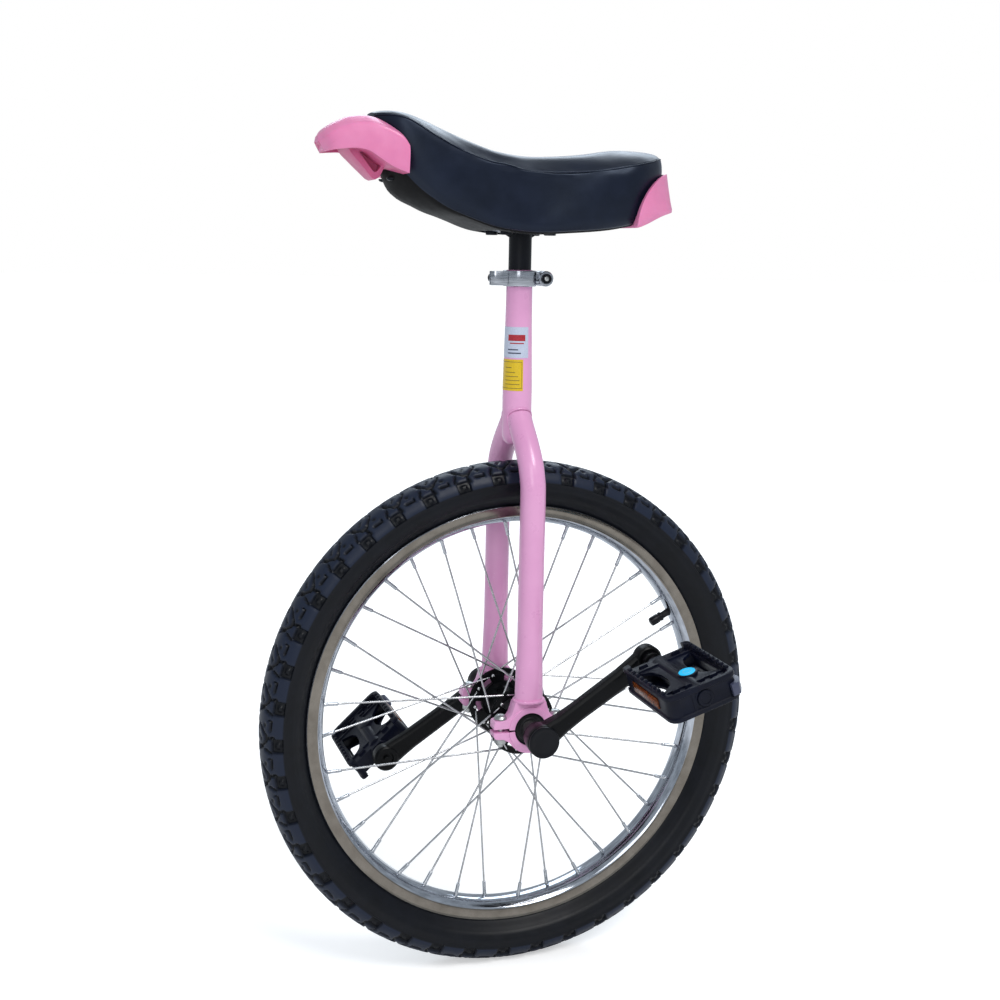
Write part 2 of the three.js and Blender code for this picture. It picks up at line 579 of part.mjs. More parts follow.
// Crank for one side, built along +X at the axle, then turned to its angle.
function crank(side) {
  const y = (v) => side * v;
  const span = (a, b) => [Math.min(y(a), y(b)), Math.max(y(a), y(b))];
  const L = CRANK_LENGTH;
  const shift = CRANK_END_Y - CRANK_ROOT_Y;
  const outline = [...arc(0, 0, 14, 120, 240, 6), [0, -12.5], [30, -10.6], [L - 10, -9.6],
    ...arc(L, 0, 12.5, -60, 60, 8), [L - 10, 9.6], [30, 10.6], [0, 12.5]];
  let arm = orient(plateXZ(outline, ...span(CRANK_ROOT_Y - 6, CRANK_ROOT_Y + 6)));
  const p = arm.getAttribute('position');
  for (let i = 0; i < p.count; i++) {
    const k = Math.min(1, Math.max(0, (p.getX(i) - 16) / (L - 32)));
    p.setY(i, p.getY(i) + side * shift * k);
  }
  const boss = toSolid(rod('y', 15.2, ...span(72, 92.2), 20, ...BOSS_TAPER[side]));
  const eye = toSolid(moved(rod('y', 13.2, ...span(CRANK_END_Y - 7, CRANK_END_Y + 7), 16), L, 0, 0));
  const hub = toSolid(box(-5.9, 5.9, ...span(60, 86), -5.9, 5.9));
  const recess = toSolid(rod('y', 11, ...span(85.3, 96), 12));
  const tap = toSolid(moved(rod('y', 7, ...span(70, 110), 12), L, 0, 0));
  return cut(union(toSolid(arm), boss, eye), hub, recess, tap);
}

const crankTurn = { left: -CRANK_ANGLE, right: 180 - CRANK_ANGLE };

function placeCrank(s, name) {
  return s.rotate([0, crankTurn[name], 0]).translate([0, 0, AXLE_Z]);
}

function spindle(side) {
  const span = (a, b) => [Math.min(side * a, side * b), Math.max(side * a, side * b)];
  const parts = [rod('y', 6.6, ...span(CRANK_END_Y - 8, 108), 12), rod('y', 9, ...span(CRANK_END_Y + 7 + GAP, 103), 12),
    rod('y', 6.2, ...span(107, 201), 16)];
  return union(...parts.map(toSolid)).translate([CRANK_LENGTH, 0, 0]);
}

piece('hub_shell', hubShell(), 'black_metal');
piece('wheel_axle', axle(), 'steel');
for (const [name, s] of SIDES) {
  piece(`${name}_bearing_inner_ring`, bearingRing(s, AXLE_R + 0.06, BEARING_MID_R), 'steel');
  piece(`${name}_spokes`, spokeSet(s), 'chrome');
}
piece('rim', rim(), 'chrome');
piece('rim_tape', rimTape(), 'tape');
piece('inner_tube', innerTube(), 'tube');
piece('valve_cap', valveCap(), 'black_plastic');
piece('tyre', tyre(), 'tyre');

for (const [name, s] of SIDES) {
  const span = (a, b) => [Math.min(s * a, s * b), Math.max(s * a, s * b)];
  piece(`${name}_crank`, placeCrank(crank(s), name), 'black_metal');
  const bolt = union(toSolid(rod('y', 3.4, ...span(68, 88), 8)), toSolid(rod('y', 8, ...span(85.6, 91.6), 12)));
  piece(`${name}_crank_bolt`, placeCrank(bolt, name), 'steel');
  const dust = union(toSolid(rod('y', 15, ...span(92.2 + GAP, 95.7), 24)));
  piece(`${name}_dust_cap`, placeCrank(dust, name), 'black_plastic');
  piece(`${name}_pedal_spindle`, placeCrank(spindle(s), name), 'steel');
}

// ---------------------------------------------------------------- pedals
const PEDAL_BORE_R = 6.45;
function pedalBody(side) {
  const [y0, y1] = PEDAL_Y, L = PEDAL_HALF_LENGTH, H = PEDAL_HALF_THICK;
  const span = (a, b) => [Math.min(side * a, side * b), Math.max(side * a, side * b)];
  const shape = new THREE.Shape([[-L + 8, y0], [L - 8, y0], [L, y0 + 12], [L, y1 - 12], [L - 10, y1],
    [-L + 10, y1], [-L, y1 - 12], [-L, y0 + 12]].map(([a, b]) => new THREE.Vector2(a, side * b)));
  const plate = new THREE.ExtrudeGeometry(shape, { depth: 2 * H, bevelEnabled: false });
  let s = toSolid(orient(plate.translate(0, 0, -H)));
  for (const e of [-1, 1]) {
    const w = new THREE.Shape([[e * 13.5, y0 + 12], [e * (L - 13), y0 + 7], [e * (L - 6), y0 + 14],
      [e * (L - 6), y1 - 14], [e * (L - 14), y1 - 9], [e * 13.5, y1 - 15]].map(([a, b]) => new THREE.Vector2(a, side * b)));
    s = cut(s, toSolid(orient(new THREE.ExtrudeGeometry(w, { depth: 2 * H + 10, bevelEnabled: false })
      .translate(0, 0, -H - 5))));
    // shallow seat for the reflector
    s = cut(s, toSolid(box(...[e * (L - 2.3), e * (L + 5)].sort((a, b) => a - b), ...span(138, 188), -7.3, 7.3)));
  }
  const barrel = toSolid(rod('y', 11, ...span(y0 - 3, y1 + 2), 16));
  const bore = toSolid(rod('y', PEDAL_BORE_R, ...span(y0 - 10, 204), 24));
  const mouth = toSolid(rod('y', 7.6, ...span(201.3, y1 + 10), 16));
  return cut(union(s, barrel), bore, mouth);
}

function placePedal(s, name) {
  const a = name === 'left' ? 1 : -1;
  const x = a * CRANK_LENGTH * Math.cos(rad(CRANK_ANGLE)), z = a * CRANK_LENGTH * Math.sin(rad(CRANK_ANGLE));
  return s.rotate([0, -PEDAL_TILT[name], 0]).translate([x, 0, AXLE_Z + z]);
}

for (const [name, s] of SIDES) {
  const span = (a, b) => [Math.min(s * a, s * b), Math.max(s * a, s * b)];
  piece(`${name}_pedal_body`, placePedal(pedalBody(s), name), 'black_plastic');
  const cap = union(toSolid(rod('y', 7.3, ...span(204.4, 214), 16)), toSolid(rod('y', 9.4, ...span(213.3, 215.5), 16)));
  piece(`${name}_pedal_end_cap`, placePedal(cap, name), 'black_plastic');
  for (const [end, e] of [['front', -1], ['rear', 1]]) {
    const lens = box(...[e * (PEDAL_HALF_LENGTH - 2), e * (PEDAL_HALF_LENGTH + 0.8)].sort((a, b) => a - b),
      ...span(138.3, 187.7), -7, 7);
    piece(`${name}_pedal_${end}_reflector`, placePedal(toSolid(lens), name), 'amber');
  }
}

export default group;
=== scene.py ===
"""Looks of the unicycle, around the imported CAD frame. Lengths below are in millimetres in the
frame's axes (+Z up, axle along Y, rider faces -X) and are turned into metres as meshes are made."""

import math

import bmesh
import bpy
import numpy as np
from mathutils import Matrix, Vector


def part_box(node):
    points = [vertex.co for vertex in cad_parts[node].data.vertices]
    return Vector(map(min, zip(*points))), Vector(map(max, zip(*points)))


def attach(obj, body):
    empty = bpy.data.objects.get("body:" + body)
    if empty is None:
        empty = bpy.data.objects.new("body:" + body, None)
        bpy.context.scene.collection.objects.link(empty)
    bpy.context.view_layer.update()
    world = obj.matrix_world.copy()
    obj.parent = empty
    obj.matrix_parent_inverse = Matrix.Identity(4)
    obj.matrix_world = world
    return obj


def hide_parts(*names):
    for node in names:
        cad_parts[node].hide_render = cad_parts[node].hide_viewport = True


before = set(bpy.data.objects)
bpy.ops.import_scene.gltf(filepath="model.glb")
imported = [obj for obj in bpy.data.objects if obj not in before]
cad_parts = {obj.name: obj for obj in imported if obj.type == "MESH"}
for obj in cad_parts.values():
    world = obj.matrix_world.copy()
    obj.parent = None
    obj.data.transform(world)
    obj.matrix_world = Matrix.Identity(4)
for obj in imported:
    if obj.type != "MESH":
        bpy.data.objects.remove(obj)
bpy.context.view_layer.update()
MM = 0.001


def span(node):
    """Lowest and highest corner of a CAD node, in millimetres."""
    lo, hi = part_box(node)
    return np.array(lo) / MM, np.array(hi) / MM


TYRE_LO, TYRE_HI = span("tyre")
AXLE_Z = (TYRE_LO[2] + TYRE_HI[2]) / 2          # 252.1
TYRE_R = AXLE_Z
SIDES = (("left", -1), ("right", 1))
CRANK_ANGLE, CRANK_LENGTH = 34.2, 127.0
PEDAL_TILT = {"left": 18, "right": 43}
FIRST_SPOKE, SPOKE_LEAN, SPOKE_HOLE_R = 3.3, 66.0, 28.0
VALVE_ANGLE = 27.6


# ------------------------------------------------------------------ camera
def make_camera():
    right = Vector((0.9557057, -0.29384213, 0.01683504))
    up = Vector((0.00808474, 0.08338658, 0.99648448))
    forward = Vector((0.29421294, 0.95220978, -0.08206867))
    cam = bpy.data.objects.new("camera", bpy.data.cameras.new("camera"))
    bpy.context.scene.collection.objects.link(cam)
    turn = Matrix((right, up, -forward)).transposed().to_4x4()
    cam.matrix_world = Matrix.Translation(Vector((-453.228, -1241.919, 710.648)) * MM) @ turn
    cam.data.sensor_width = 36.0
    cam.data.lens = 48.723
    cam.data.shift_x = 0.05
    cam.data.shift_y = -0.14
    cam.data.clip_start, cam.data.clip_end = 0.05, 50
    bpy.context.scene.camera = cam


# ------------------------------------------------------------------ mesh building
def arr(points):
    return np.array(points, float).reshape(-1, 3)


def build(name, verts, faces, smooth=35.0):
    """A mesh object from millimetre points and faces."""
    mesh = bpy.data.meshes.new(name)
    mesh.from_pydata((arr(verts) * MM).tolist(), [], [list(f) for f in faces])
    mesh.validate()
    mesh.update()
    obj = bpy.data.objects.new(name, mesh)
    bpy.context.scene.collection.objects.link(obj)
    shade(obj, smooth)
    return obj


def shade(obj, smooth):
    mesh = obj.data
    if smooth:
        mesh.shade_smooth()
        mesh.set_sharp_from_angle(angle=math.radians(smooth))
    else:
        mesh.shade_flat()


def loft(rings, closed=True, cap=True, loop=False):
    """Points and faces of a skin through rings of equal length."""
    n, m = len(rings[0]), len(rings)
    verts = np.concatenate([arr(r) for r in rings])
    faces = []
    for i in range(m if loop else m - 1):
        a, b = i * n, ((i + 1) % m) * n
        for j in range(n if closed else n - 1):
            k = (j + 1) % n
            faces.append((a + j, a + k, b + k, b + j))
    if cap and not loop:
        faces.append(tuple(range(n))[::-1])
        faces.append(tuple((m - 1) * n + j for j in range(n)))
    return verts, faces


def lathe(profile, seg, axis="y", centre=(0, 0, 0), closed=False, start=0.0):
    """Skin of a profile of (radius, along) turned about an axis. An open profile is capped."""
    prof = np.array(profile, float)
    rings = []
    for i in range(seg):
        a = start + 2 * math.pi * i / seg
        c, s = math.cos(a), math.sin(a)
        if axis == "y":
            rings.append(np.stack([prof[:, 0] * c, prof[:, 1], prof[:, 0] * s], 1))
        elif axis == "z":
            rings.append(np.stack([prof[:, 0] * c, prof[:, 0] * s, prof[:, 1]], 1))
        else:
            rings.append(np.stack([prof[:, 1], prof[:, 0] * c, prof[:, 0] * s], 1))
    n = len(prof)
    verts, faces = loft(rings, closed=closed, loop=True)
    if not closed:
        faces.append(tuple(i * n for i in range(seg)))
        faces.append(tuple(i * n + n - 1 for i in range(seg))[::-1])
    return verts + np.array(centre), faces


def joined(parts):
    """Several (points, faces) as one."""
    verts, faces, base = [], [], 0
    for v, f in parts:
        verts.append(arr(v))
        faces += [tuple(i + base for i in face) for face in f]
        base += len(v)
    return np.concatenate(verts), faces


def turned(part, angle, axis="y", about=(0, 0, 0)):
    """Points turned by an angle in degrees; about Y a positive angle lifts +X towards +Z."""
    v, f = part
    a = math.radians(angle)
    c, s = math.cos(a), math.sin(a)
    p = arr(v) - np.array(about)
    x, y, z = p[:, 0], p[:, 1], p[:, 2]
    if axis == "y":
        q = np.stack([x * c - z * s, y, x * s + z * c], 1)
    elif axis == "z":
        q = np.stack([x * c - y * s, x * s + y * c, z], 1)
    else:
        q = np.stack([x, y * c - z * s, y * s + z * c], 1)
    return q + np.array(about), f


def shifted(part, by):
    return arr(part[0]) + np.array(by, float), part[1]


def scaled(part, by):
    v = arr(part[0]) * np.array(by, float)
    flip = by[0] * by[1] * by[2] < 0
    return v, [tuple(f)[::-1] for f in part[1]] if flip else part[1]


def tube(path, radii, seg=24, loop=False, flat=1.0, up=None):
    """Round tube along a path, with its own radius at each point; flat scales it across `up`."""
    pts = arr(path)
    radii = np.broadcast_to(np.array(radii, float), len(pts))
    n = len(pts)
    normal, rings = (np.array(up, float) if up is not None else None), []
    for i, p in enumerate(pts):
        t = pts[(i + 1) % n if loop else min(i + 1, n - 1)] - pts[(i - 1) % n if loop else max(i - 1, 0)]
        t /= np.linalg.norm(t)
        if normal is None:
            normal = np.eye(3)[int(np.argmin(np.abs(t)))]
        normal = normal - t * normal.dot(t)
        normal /= np.linalg.norm(normal)
        b = np.cross(t, normal)
        rings.append([p + radii[i] * (math.cos(a) * normal + flat * math.sin(a) * b)
                      for a in np.linspace(0, 2 * math.pi, seg, endpoint=False)])
    return loft(rings, loop=loop)


def smooth_path(points, n):
    """A Catmull-Rom curve through points, with n spans per gap."""
    p = arr(points)
    p = np.concatenate([[2 * p[0] - p[1]], p, [2 * p[-1] - p[-2]]])
    out = []
    for i in range(1, len(p) - 2):
        for k in range(n):
            t = k / n
            out.append(0.5 * (2 * p[i] + (p[i + 1] - p[i - 1]) * t
                       + (2 * p[i - 1] - 5 * p[i] + 4 * p[i + 1] - p[i + 2]) * t * t
                       + (-p[i - 1] + 3 * p[i] - 3 * p[i + 1] + p[i + 2]) * t ** 3))
    out.append(p[-2])
    return np.array(out)


def plate(outline, y0, y1, plane="xz"):
    """A flat shape with thickness: outline in the plane, from y0 to y1 across it."""
    o = np.array(outline, float)
    if plane == "xz":
        rings = [np.stack([o[:, 0], np.full(len(o), y), o[:, 1]], 1) for y in (y0, y1)]
    else:
        rings = [np.stack([o[:, 0], o[:, 1], np.full(len(o), y)], 1) for y in (y0, y1)]
    return loft(rings)


def block(x0, x1, y0, y1, z0, z1):
    return plate([(x0, y0), (x1, y0), (x1, y1), (x0, y1)], z0, z1, "xy")


def arc(cx, cz, r, a0, a1, n):
    return [(cx + r * math.cos(math.radians(a)), cz + r * math.sin(math.radians(a)))
            for a in np.linspace(a0, a1, n)]


def fix_normals(obj):
    bm = bmesh.new()
    bm.from_mesh(obj.data)
    bmesh.ops.recalc_face_normals(bm, faces=bm.faces)
    bm.to_mesh(obj.data)
    bm.free()


def modified(obj, kind, **settings):
    """Adds a modifier and applies it to the mesh."""
    mod = obj.modifiers.new(kind, kind)
    for key, value in settings.items():
        setattr(mod, key, value)
    bpy.context.view_layer.update()
    dg = bpy.context.evaluated_depsgraph_get()
    mesh = bpy.data.meshes.new_from_object(obj.evaluated_get(dg))
    obj.modifiers.clear()
    old = obj.data
    obj.data = mesh
    bpy.data.meshes.remove(old)
    return obj


def bevelled(obj, width, segments=2, angle=30, smooth=40):
    modified(obj, "BEVEL", width=width * MM, segments=segments, limit_method="ANGLE",
             angle_limit=math.radians(angle), harden_normals=False)
    shade(obj, smooth)
    return obj


def cut_away(obj, cutters):
    """Subtracts closed shapes, each a (points, faces), from obj."""
    for part in cutters:
        tool = build("cutter", *part)
        fix_normals(tool)
        modified(obj, "BOOLEAN", object=tool, operation="DIFFERENCE", solver="EXACT")
        bpy.data.objects.remove(tool)
    return obj


def added(obj, parts):
    """Unites closed shapes, each a (points, faces), with obj."""
    for part in parts:
        tool = build("adder", *part)
        fix_normals(tool)
        modified(obj, "BOOLEAN", object=tool, operation="UNION", solver="EXACT")
        bpy.data.objects.remove(tool)
    return obj


def piece(name, part, material, body, nodes=(), smooth=35, fix=True, bevel=None):
    """Builds one visible piece, gives it its material and ties it to its CAD body."""
    obj = build(name, *part, smooth=smooth)
    if fix:
        fix_normals(obj)
    if bevel:
        bevelled(obj, *bevel)
    return finished(obj, material, body, nodes)


def finished(obj, material, body, nodes=()):
    obj.data.materials.clear()
    obj.data.materials.append(material)
    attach(obj, body)
    if nodes:
        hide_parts(*([nodes] if isinstance(nodes, str) else nodes))
    return obj


# ------------------------------------------------------------------ materials
def srgb(r, g, b):
    def lin(c):
        c /= 255
        return c / 12.92 if c <= 0.04045 else ((c + 0.055) / 1.055) ** 2.4
    return (lin(r), lin(g), lin(b), 1.0)


class Finish:
    """A Principled material whose colour, roughness and bump come from nodes in object space."""

    def __init__(self, name, **constant):
        self.mat = bpy.data.materials.new(name)
        self.mat.use_nodes = True
        self.tree = self.mat.node_tree
        self.shader = self.tree.nodes["Principled BSDF"]
        for key, value in constant.items():
            self.shader.inputs[key.replace("_", " ")].default_value = value
        self.where = self.tree.nodes.new("ShaderNodeTexCoord").outputs["Object"]

    def link(self, a, b):
        self.tree.links.new(a, b)

    def stretched(self, scale):
        m = self.tree.nodes.new("ShaderNodeMapping")
        m.inputs["Scale"].default_value = scale
        self.link(self.where, m.inputs["Vector"])
        return m.outputs["Vector"]

    def noise(self, scale, detail=3.0, rough=0.5, vector=None, distort=0.0):
        n = self.tree.nodes.new("ShaderNodeTexNoise")
        n.inputs["Scale"].default_value = scale
        n.inputs["Detail"].default_value = detail
        n.inputs["Roughness"].default_value = rough
        n.inputs["Distortion"].default_value = distort
        self.link(vector or self.where, n.inputs["Vector"])
        return n.outputs["Fac"]

    def cells(self, scale, feature="F1", vector=None):
        n = self.tree.nodes.new("ShaderNodeTexVoronoi")
        n.feature = feature
        n.inputs["Scale"].default_value = scale
        self.link(vector or self.where, n.inputs["Vector"])
        return n.outputs["Distance"]

    def ramp(self, fac, stops):
        r = self.tree.nodes.new("ShaderNodeValToRGB")
        el = r.color_ramp.elements
        while len(el) < len(stops):
            el.new(0.5)
        for e, (at, colour) in zip(el, stops):
            e.position = at
            e.color = colour if hasattr(colour, "__len__") else (colour, colour, colour, 1)
        self.link(fac, r.inputs["Fac"])
        return r.outputs["Color"]

    def math(self, op, a, b):
        n = self.tree.nodes.new("ShaderNodeMath")
        n.operation = op
        for socket, v in zip(n.inputs, (a, b)):
            if hasattr(v, "node"):
                self.link(v, socket)
            else:
                socket.default_value = v
        return n.outputs[0]

    def mix(self, fac, a, b):
        n = self.tree.nodes.new("ShaderNodeMix")
        n.data_type = "RGBA"
        ins = [s for s in n.inputs if s.name in ("A", "B") and s.type == "RGBA"]
        self.link(fac, n.inputs["Factor"])
        for socket, v in zip(ins, (a, b)):
            if hasattr(v, "node"):
                self.link(v, socket)
            else:
                socket.default_value = v
        return [s for s in n.outputs if s.type == "RGBA"][0]

    def colour(self, socket):
        self.link(socket, self.shader.inputs["Base Color"])

    def roughness(self, fac, low, high):
        self.link(self.ramp(fac, [(0.25, low), (0.75, high)]), self.shader.inputs["Roughness"])

    def bump(self, height, strength, distance_mm):
        n = self.tree.nodes.new("ShaderNodeBump")
        n.inputs["Strength"].default_value = strength
        n.inputs["Distance"].default_value = distance_mm * MM
        self.link(height, n.inputs["Height"])
        old = self.shader.inputs["Normal"]
        if old.is_linked:
            self.link(old.links[0].from_socket, n.inputs["Normal"])
        self.link(n.outputs["Normal"], old)


def painted(name, dark, mid, light, rough=(0.25, 0.36), peel=0.05, coat=0.35, specks=None, level=0.5):
    """Gloss paint: slow colour drift, orange peel, and dust specks."""
    f = Finish(name, Coat_Weight=coat, Coat_Roughness=0.12, Specular_IOR_Level=level)
    drift = f.noise(14, 4, 0.55)
    base = f.ramp(drift, [(0.3, dark), (0.5, mid), (0.72, light)])
    if specks:
        dust = f.ramp(f.noise(420, 2, 0.6), [(0.70, 0.0), (0.76, 1.0)])
        base = f.mix(dust, base, specks)
    f.colour(base)
    f.roughness(f.noise(55, 5, 0.6), *rough)
    f.bump(f.noise(650, 2, 0.5), peel, 0.25)
    f.bump(f.noise(60, 3, 0.5), peel * 0.8, 0.6)
    return f.mat


def moulded(name, dark, light, rough, grain=0.12, scale=1400, coat=0.0, subsurface=0.0, level=0.5):
    """Moulded plastic: fine spark grain and faint flow marks."""
    f = Finish(name, Coat_Weight=coat, Subsurface_Weight=subsurface, Subsurface_Scale=0.004,
               Specular_IOR_Level=level)
    f.colour(f.ramp(f.noise(26, 5, 0.6, distort=0.6), [(0.3, dark), (0.7, light)]))
    f.roughness(f.noise(90, 4, 0.6), *rough)
    f.bump(f.cells(scale), grain, 0.12)
    f.bump(f.noise(45, 3, 0.5), grain * 0.5, 0.5)
    return f.mat


def metal(name, dark, light, rough, streak=(1, 1, 1), scale=60, scratch=0.04, aniso=0.0):
    """Bare metal: streaked colour and roughness, and fine polishing scratches."""
    f = Finish(name, Metallic=1.0, Anisotropic=aniso)
    run = f.stretched(streak)
    f.colour(f.ramp(f.noise(scale, 5, 0.6, vector=run), [(0.3, dark), (0.7, light)]))
    f.roughness(f.noise(scale * 1.7, 5, 0.65, vector=run), *rough)
    f.bump(f.noise(scale * 14, 4, 0.6, vector=run), scratch, 0.08)
    return f.mat


def rubber(name, dark, light, rough, grain=0.2, level=0.35, painted_lit_tops=None):
    """Rubber with dusty patches; the optional colour goes where the mesh's tread attribute is 1, a painted
    sky highlight on the tread block tops that leaves the grooves darker as painted shade.
    """
    f = Finish(name, Specular_IOR_Level=level)
    base = f.ramp(f.noise(38, 5, 0.6), [(0.3, dark), (0.7, light)])
    if painted_lit_tops:
        height = f.tree.nodes.new("ShaderNodeAttribute")
        height.attribute_name = "tread"
        base = f.mix(height.outputs["Fac"], base, painted_lit_tops)
    dust = f.ramp(f.noise(170, 4, 0.7), [(0.58, 0.0), (0.85, 0.25)])
    f.colour(f.mix(dust, base, tuple(c * 1.8 for c in light[:3]) + (1.0,)))
    f.roughness(f.noise(75, 4, 0.6), *rough)
    f.bump(f.noise(1100, 3, 0.6), grain, 0.12)
    f.bump(f.noise(120, 3, 0.5), grain, 0.25)
    return f.mat


def leathercloth(name):
    """Black vinyl: pebbled grain, soft creases, and a slight blue-grey bloom."""
    f = Finish(name, Specular_IOR_Level=0.4, Specular_Tint=(0.62, 0.76, 1.0, 1.0), Sheen_Weight=0.08,
               Sheen_Roughness=0.35, Sheen_Tint=srgb(110, 145, 215))
    f.colour(f.ramp(f.noise(30, 5, 0.6), [(0.3, srgb(9, 12, 24)), (0.7, srgb(16, 21, 38))]))
    pebble = f.cells(850, "SMOOTH_F1")
    f.roughness(f.noise(60, 5, 0.6), 0.30, 0.42)
    f.bump(pebble, 0.20, 0.16)
    f.bump(f.noise(2600, 2, 0.5), 0.10, 0.05)
    f.bump(f.noise(70, 4, 0.55, distort=0.4), 0.16, 0.7)
    return f.mat


def prism_lens(name):
    """Amber reflector: moulded cube-corner cells behind a smooth face."""
    f = Finish(name, Specular_IOR_Level=0.2)
    cell = f.cells(420, "F1")
    f.colour(f.ramp(cell, [(0.1, srgb(150, 76, 20)), (0.45, srgb(112, 54, 14)), (0.8, srgb(70, 32, 10))]))
    f.roughness(cell, 0.14, 0.3)
    f.bump(cell, 0.15, 0.3)
    return f.mat


def printed(name, dark, light, rough=(0.3, 0.42)):
    """Printed film: dot-screen unevenness and tiny bubbles."""
    f = Finish(name, Coat_Weight=0.3, Coat_Roughness=0.2)
    f.colour(f.ramp(f.noise(900, 2, 0.5), [(0.35, dark), (0.65, light)]))
    f.roughness(f.noise(160, 3, 0.5), *rough)
    f.bump(f.noise(240, 3, 0.5), 0.06, 0.15)
    return f.mat


def make_materials():
    M = {}
    M["paint"] = painted("pink_paint", srgb(226, 157, 203), srgb(232, 164, 209), srgb(238, 172, 215),
                         specks=srgb(243, 190, 224))
    M["weld"] = painted("pink_paint_weld", srgb(216, 146, 194), srgb(228, 158, 204), srgb(236, 170, 213),
                        peel=0.14, specks=srgb(240, 190, 224))
    M["bumper"] = moulded("pink_plastic", srgb(234, 132, 180), srgb(242, 146, 191), (0.3, 0.4),
                          grain=0.05, scale=1800, coat=0.04, subsurface=0.06, level=0.4)
    # painted shade: a deeper pink copy of the bumper plastic for its inside, underside and tongue
    M["bumper_deep"] = moulded("pink_plastic_painted_shade", srgb(205, 92, 138), srgb(214, 104, 148), (0.36, 0.46),
                               grain=0.08, scale=1800, subsurface=0.06, level=0.35)
    M["vinyl"] = leathercloth("black_vinyl")
    M["base"] = moulded("black_plastic_base", srgb(5, 5, 6), srgb(10, 10, 12), (0.55, 0.68), grain=0.3,
                        scale=900, level=0.2)
    M["black"] = painted("black_paint", srgb(5, 6, 7), srgb(7, 8, 10), srgb(11, 12, 15),
                         rough=(0.26, 0.4), peel=0.05, coat=0.0, specks=srgb(24, 26, 32), level=0.14)
    M["post"] = painted("black_post", srgb(7, 9, 15), srgb(10, 13, 21), srgb(15, 19, 30),
                        rough=(0.3, 0.42), peel=0.08, coat=0.0, specks=srgb(34, 40, 54), level=0.2)
    M["pedal"] = moulded("black_plastic_pedal", srgb(6, 9, 22), srgb(12, 17, 36), (0.32, 0.46), grain=0.16,
                         scale=1300, level=0.2)
    M["grey"] = moulded("grey_plastic", srgb(58, 62, 84), srgb(76, 80, 104), (0.3, 0.4), grain=0.1,
                        scale=1300)
    M["cap"] = moulded("black_plastic_cap", srgb(6, 7, 12), srgb(12, 14, 21), (0.3, 0.42), grain=0.14,
                       scale=1500,
                       level=0.22)
    # painted highlight: the lighter blue colour on the tread block tops stands for reflected sky
    M["tyre"] = rubber("tyre_rubber", srgb(6, 8, 13), srgb(12, 15, 23), (0.34, 0.48), level=0.24,
                       painted_lit_tops=srgb(27, 35, 53))
    M["tube"] = rubber("tube_rubber", srgb(10, 10, 12), srgb(18, 18, 21), (0.5, 0.62))
    M["tape"] = rubber("rim_tape", srgb(120, 40, 34), srgb(140, 50, 42), (0.6, 0.75))
    M["rim"] = metal("rim_chrome", srgb(124, 117, 108), srgb(146, 139, 130), (0.14, 0.24), streak=(1, 3, 1),
                     scratch=0.05)
    # painted reflection and highlight: a brighter, bluer copy of the chrome for the rim bed and the
    # flange's outer lip
    M["bed"] = metal("rim_bed_chrome", srgb(150, 154, 162), srgb(206, 212, 222), (0.06, 0.16),
                     streak=(1, 6, 1), scratch=0.03)
    M["alloy"] = metal("clamp_alloy", srgb(118, 122, 130), srgb(206, 210, 218), (0.1, 0.24),
                       streak=(1, 1, 14), scale=45, scratch=0.10)
    M["spoke"] = metal("spoke_steel", srgb(166, 166, 168), srgb(210, 210, 212), (0.16, 0.3), scale=120)
    M["nipple"] = metal("nipple_plate", srgb(172, 176, 182), srgb(208, 211, 216), (0.2, 0.34), scale=300)
    M["zinc"] = metal("zinc_steel", srgb(168, 170, 170), srgb(205, 207, 205), (0.24, 0.4), scale=180,
                      scratch=0.1)
    M["dark_steel"] = metal("black_oxide_steel", srgb(26, 27, 30), srgb(46, 48, 54), (0.28, 0.42),
                            scale=180,
                            scratch=0.08)
    M["seal"] = rubber("bearing_seal", srgb(11, 11, 13), srgb(20, 20, 23), (0.4, 0.5))
    M["amber"] = prism_lens("amber_lens")
    M["white_label"] = printed("label_white", srgb(190, 199, 220), srgb(204, 212, 230))
    M["red_ink"] = printed("label_red", srgb(158, 20, 36), srgb(186, 32, 46))
    M["grey_ink"] = printed("label_grey", srgb(52, 58, 84), srgb(74, 80, 104))
    M["yellow_label"] = printed("label_yellow", srgb(222, 184, 4), srgb(232, 198, 10))
    M["olive_ink"] = printed("label_olive", srgb(112, 92, 20), srgb(134, 112, 30))
    M["blue_dot"] = printed("sticker_blue", srgb(0, 196, 255), srgb(4, 210, 255), (0.3, 0.4))
    for key, glow in (("blue_dot", 0.22),):
        # painted light: the sticker's ink glows, so it looks brighter than its lighting makes it
        shader = M[key].node_tree.nodes["Principled BSDF"]
        shader.inputs["Emission Color"].default_value = (0.0, 0.5, 1.0, 1.0)
        shader.inputs["Emission Strength"].default_value = glow
    # painted highlight: a lighter, glossier blue for the ring on the pedal sticker
    M["blue_painted_highlight"] = printed("sticker_blue_painted_highlight", srgb(120, 224, 255), srgb(140, 232, 255), (0.2, 0.3))
    return M


# ------------------------------------------------------------------ frame
LEG_PATH = [(7, 547), (15.5, 537.5), (25.2, 527.5), (34.8, 516.5), (42.8, 505), (47.9, 492.5), (50, 480),
            (50, 440), (50, 400), (50, 365), (50, 330), (50, 305), (50, 279)]
TUBE_R_LOW, TUBE_R_TOP, TUBE_BORE_R = 14.3, 12.7, 11.45


def leg_centre(side, n=6):
    return smooth_path([(0, side * y, z) for y, z in LEG_PATH], n)


def leg_skin(side):
    pts = leg_centre(side)
    rings = []
    for i, p in enumerate(pts):
        t = pts[min(i + 1, len(pts) - 1)] - pts[max(i - 1, 0)]
        t /= np.linalg.norm(t)
        v = np.cross(t, (1, 0, 0))
        k = min(1.0, max(0.0, (345 - p[2]) / 66))
        k = k * k * (3 - 2 * k)
        rx, ry = 12.2 + 1.7 * k, 12.2 - 1.2 * k
        rings.append([p + rx * math.cos(a) * np.array((1, 0, 0)) + ry * math.sin(a) * v
                      for a in np.linspace(0, 2 * math.pi, 40, endpoint=False)])
    return loft(rings)


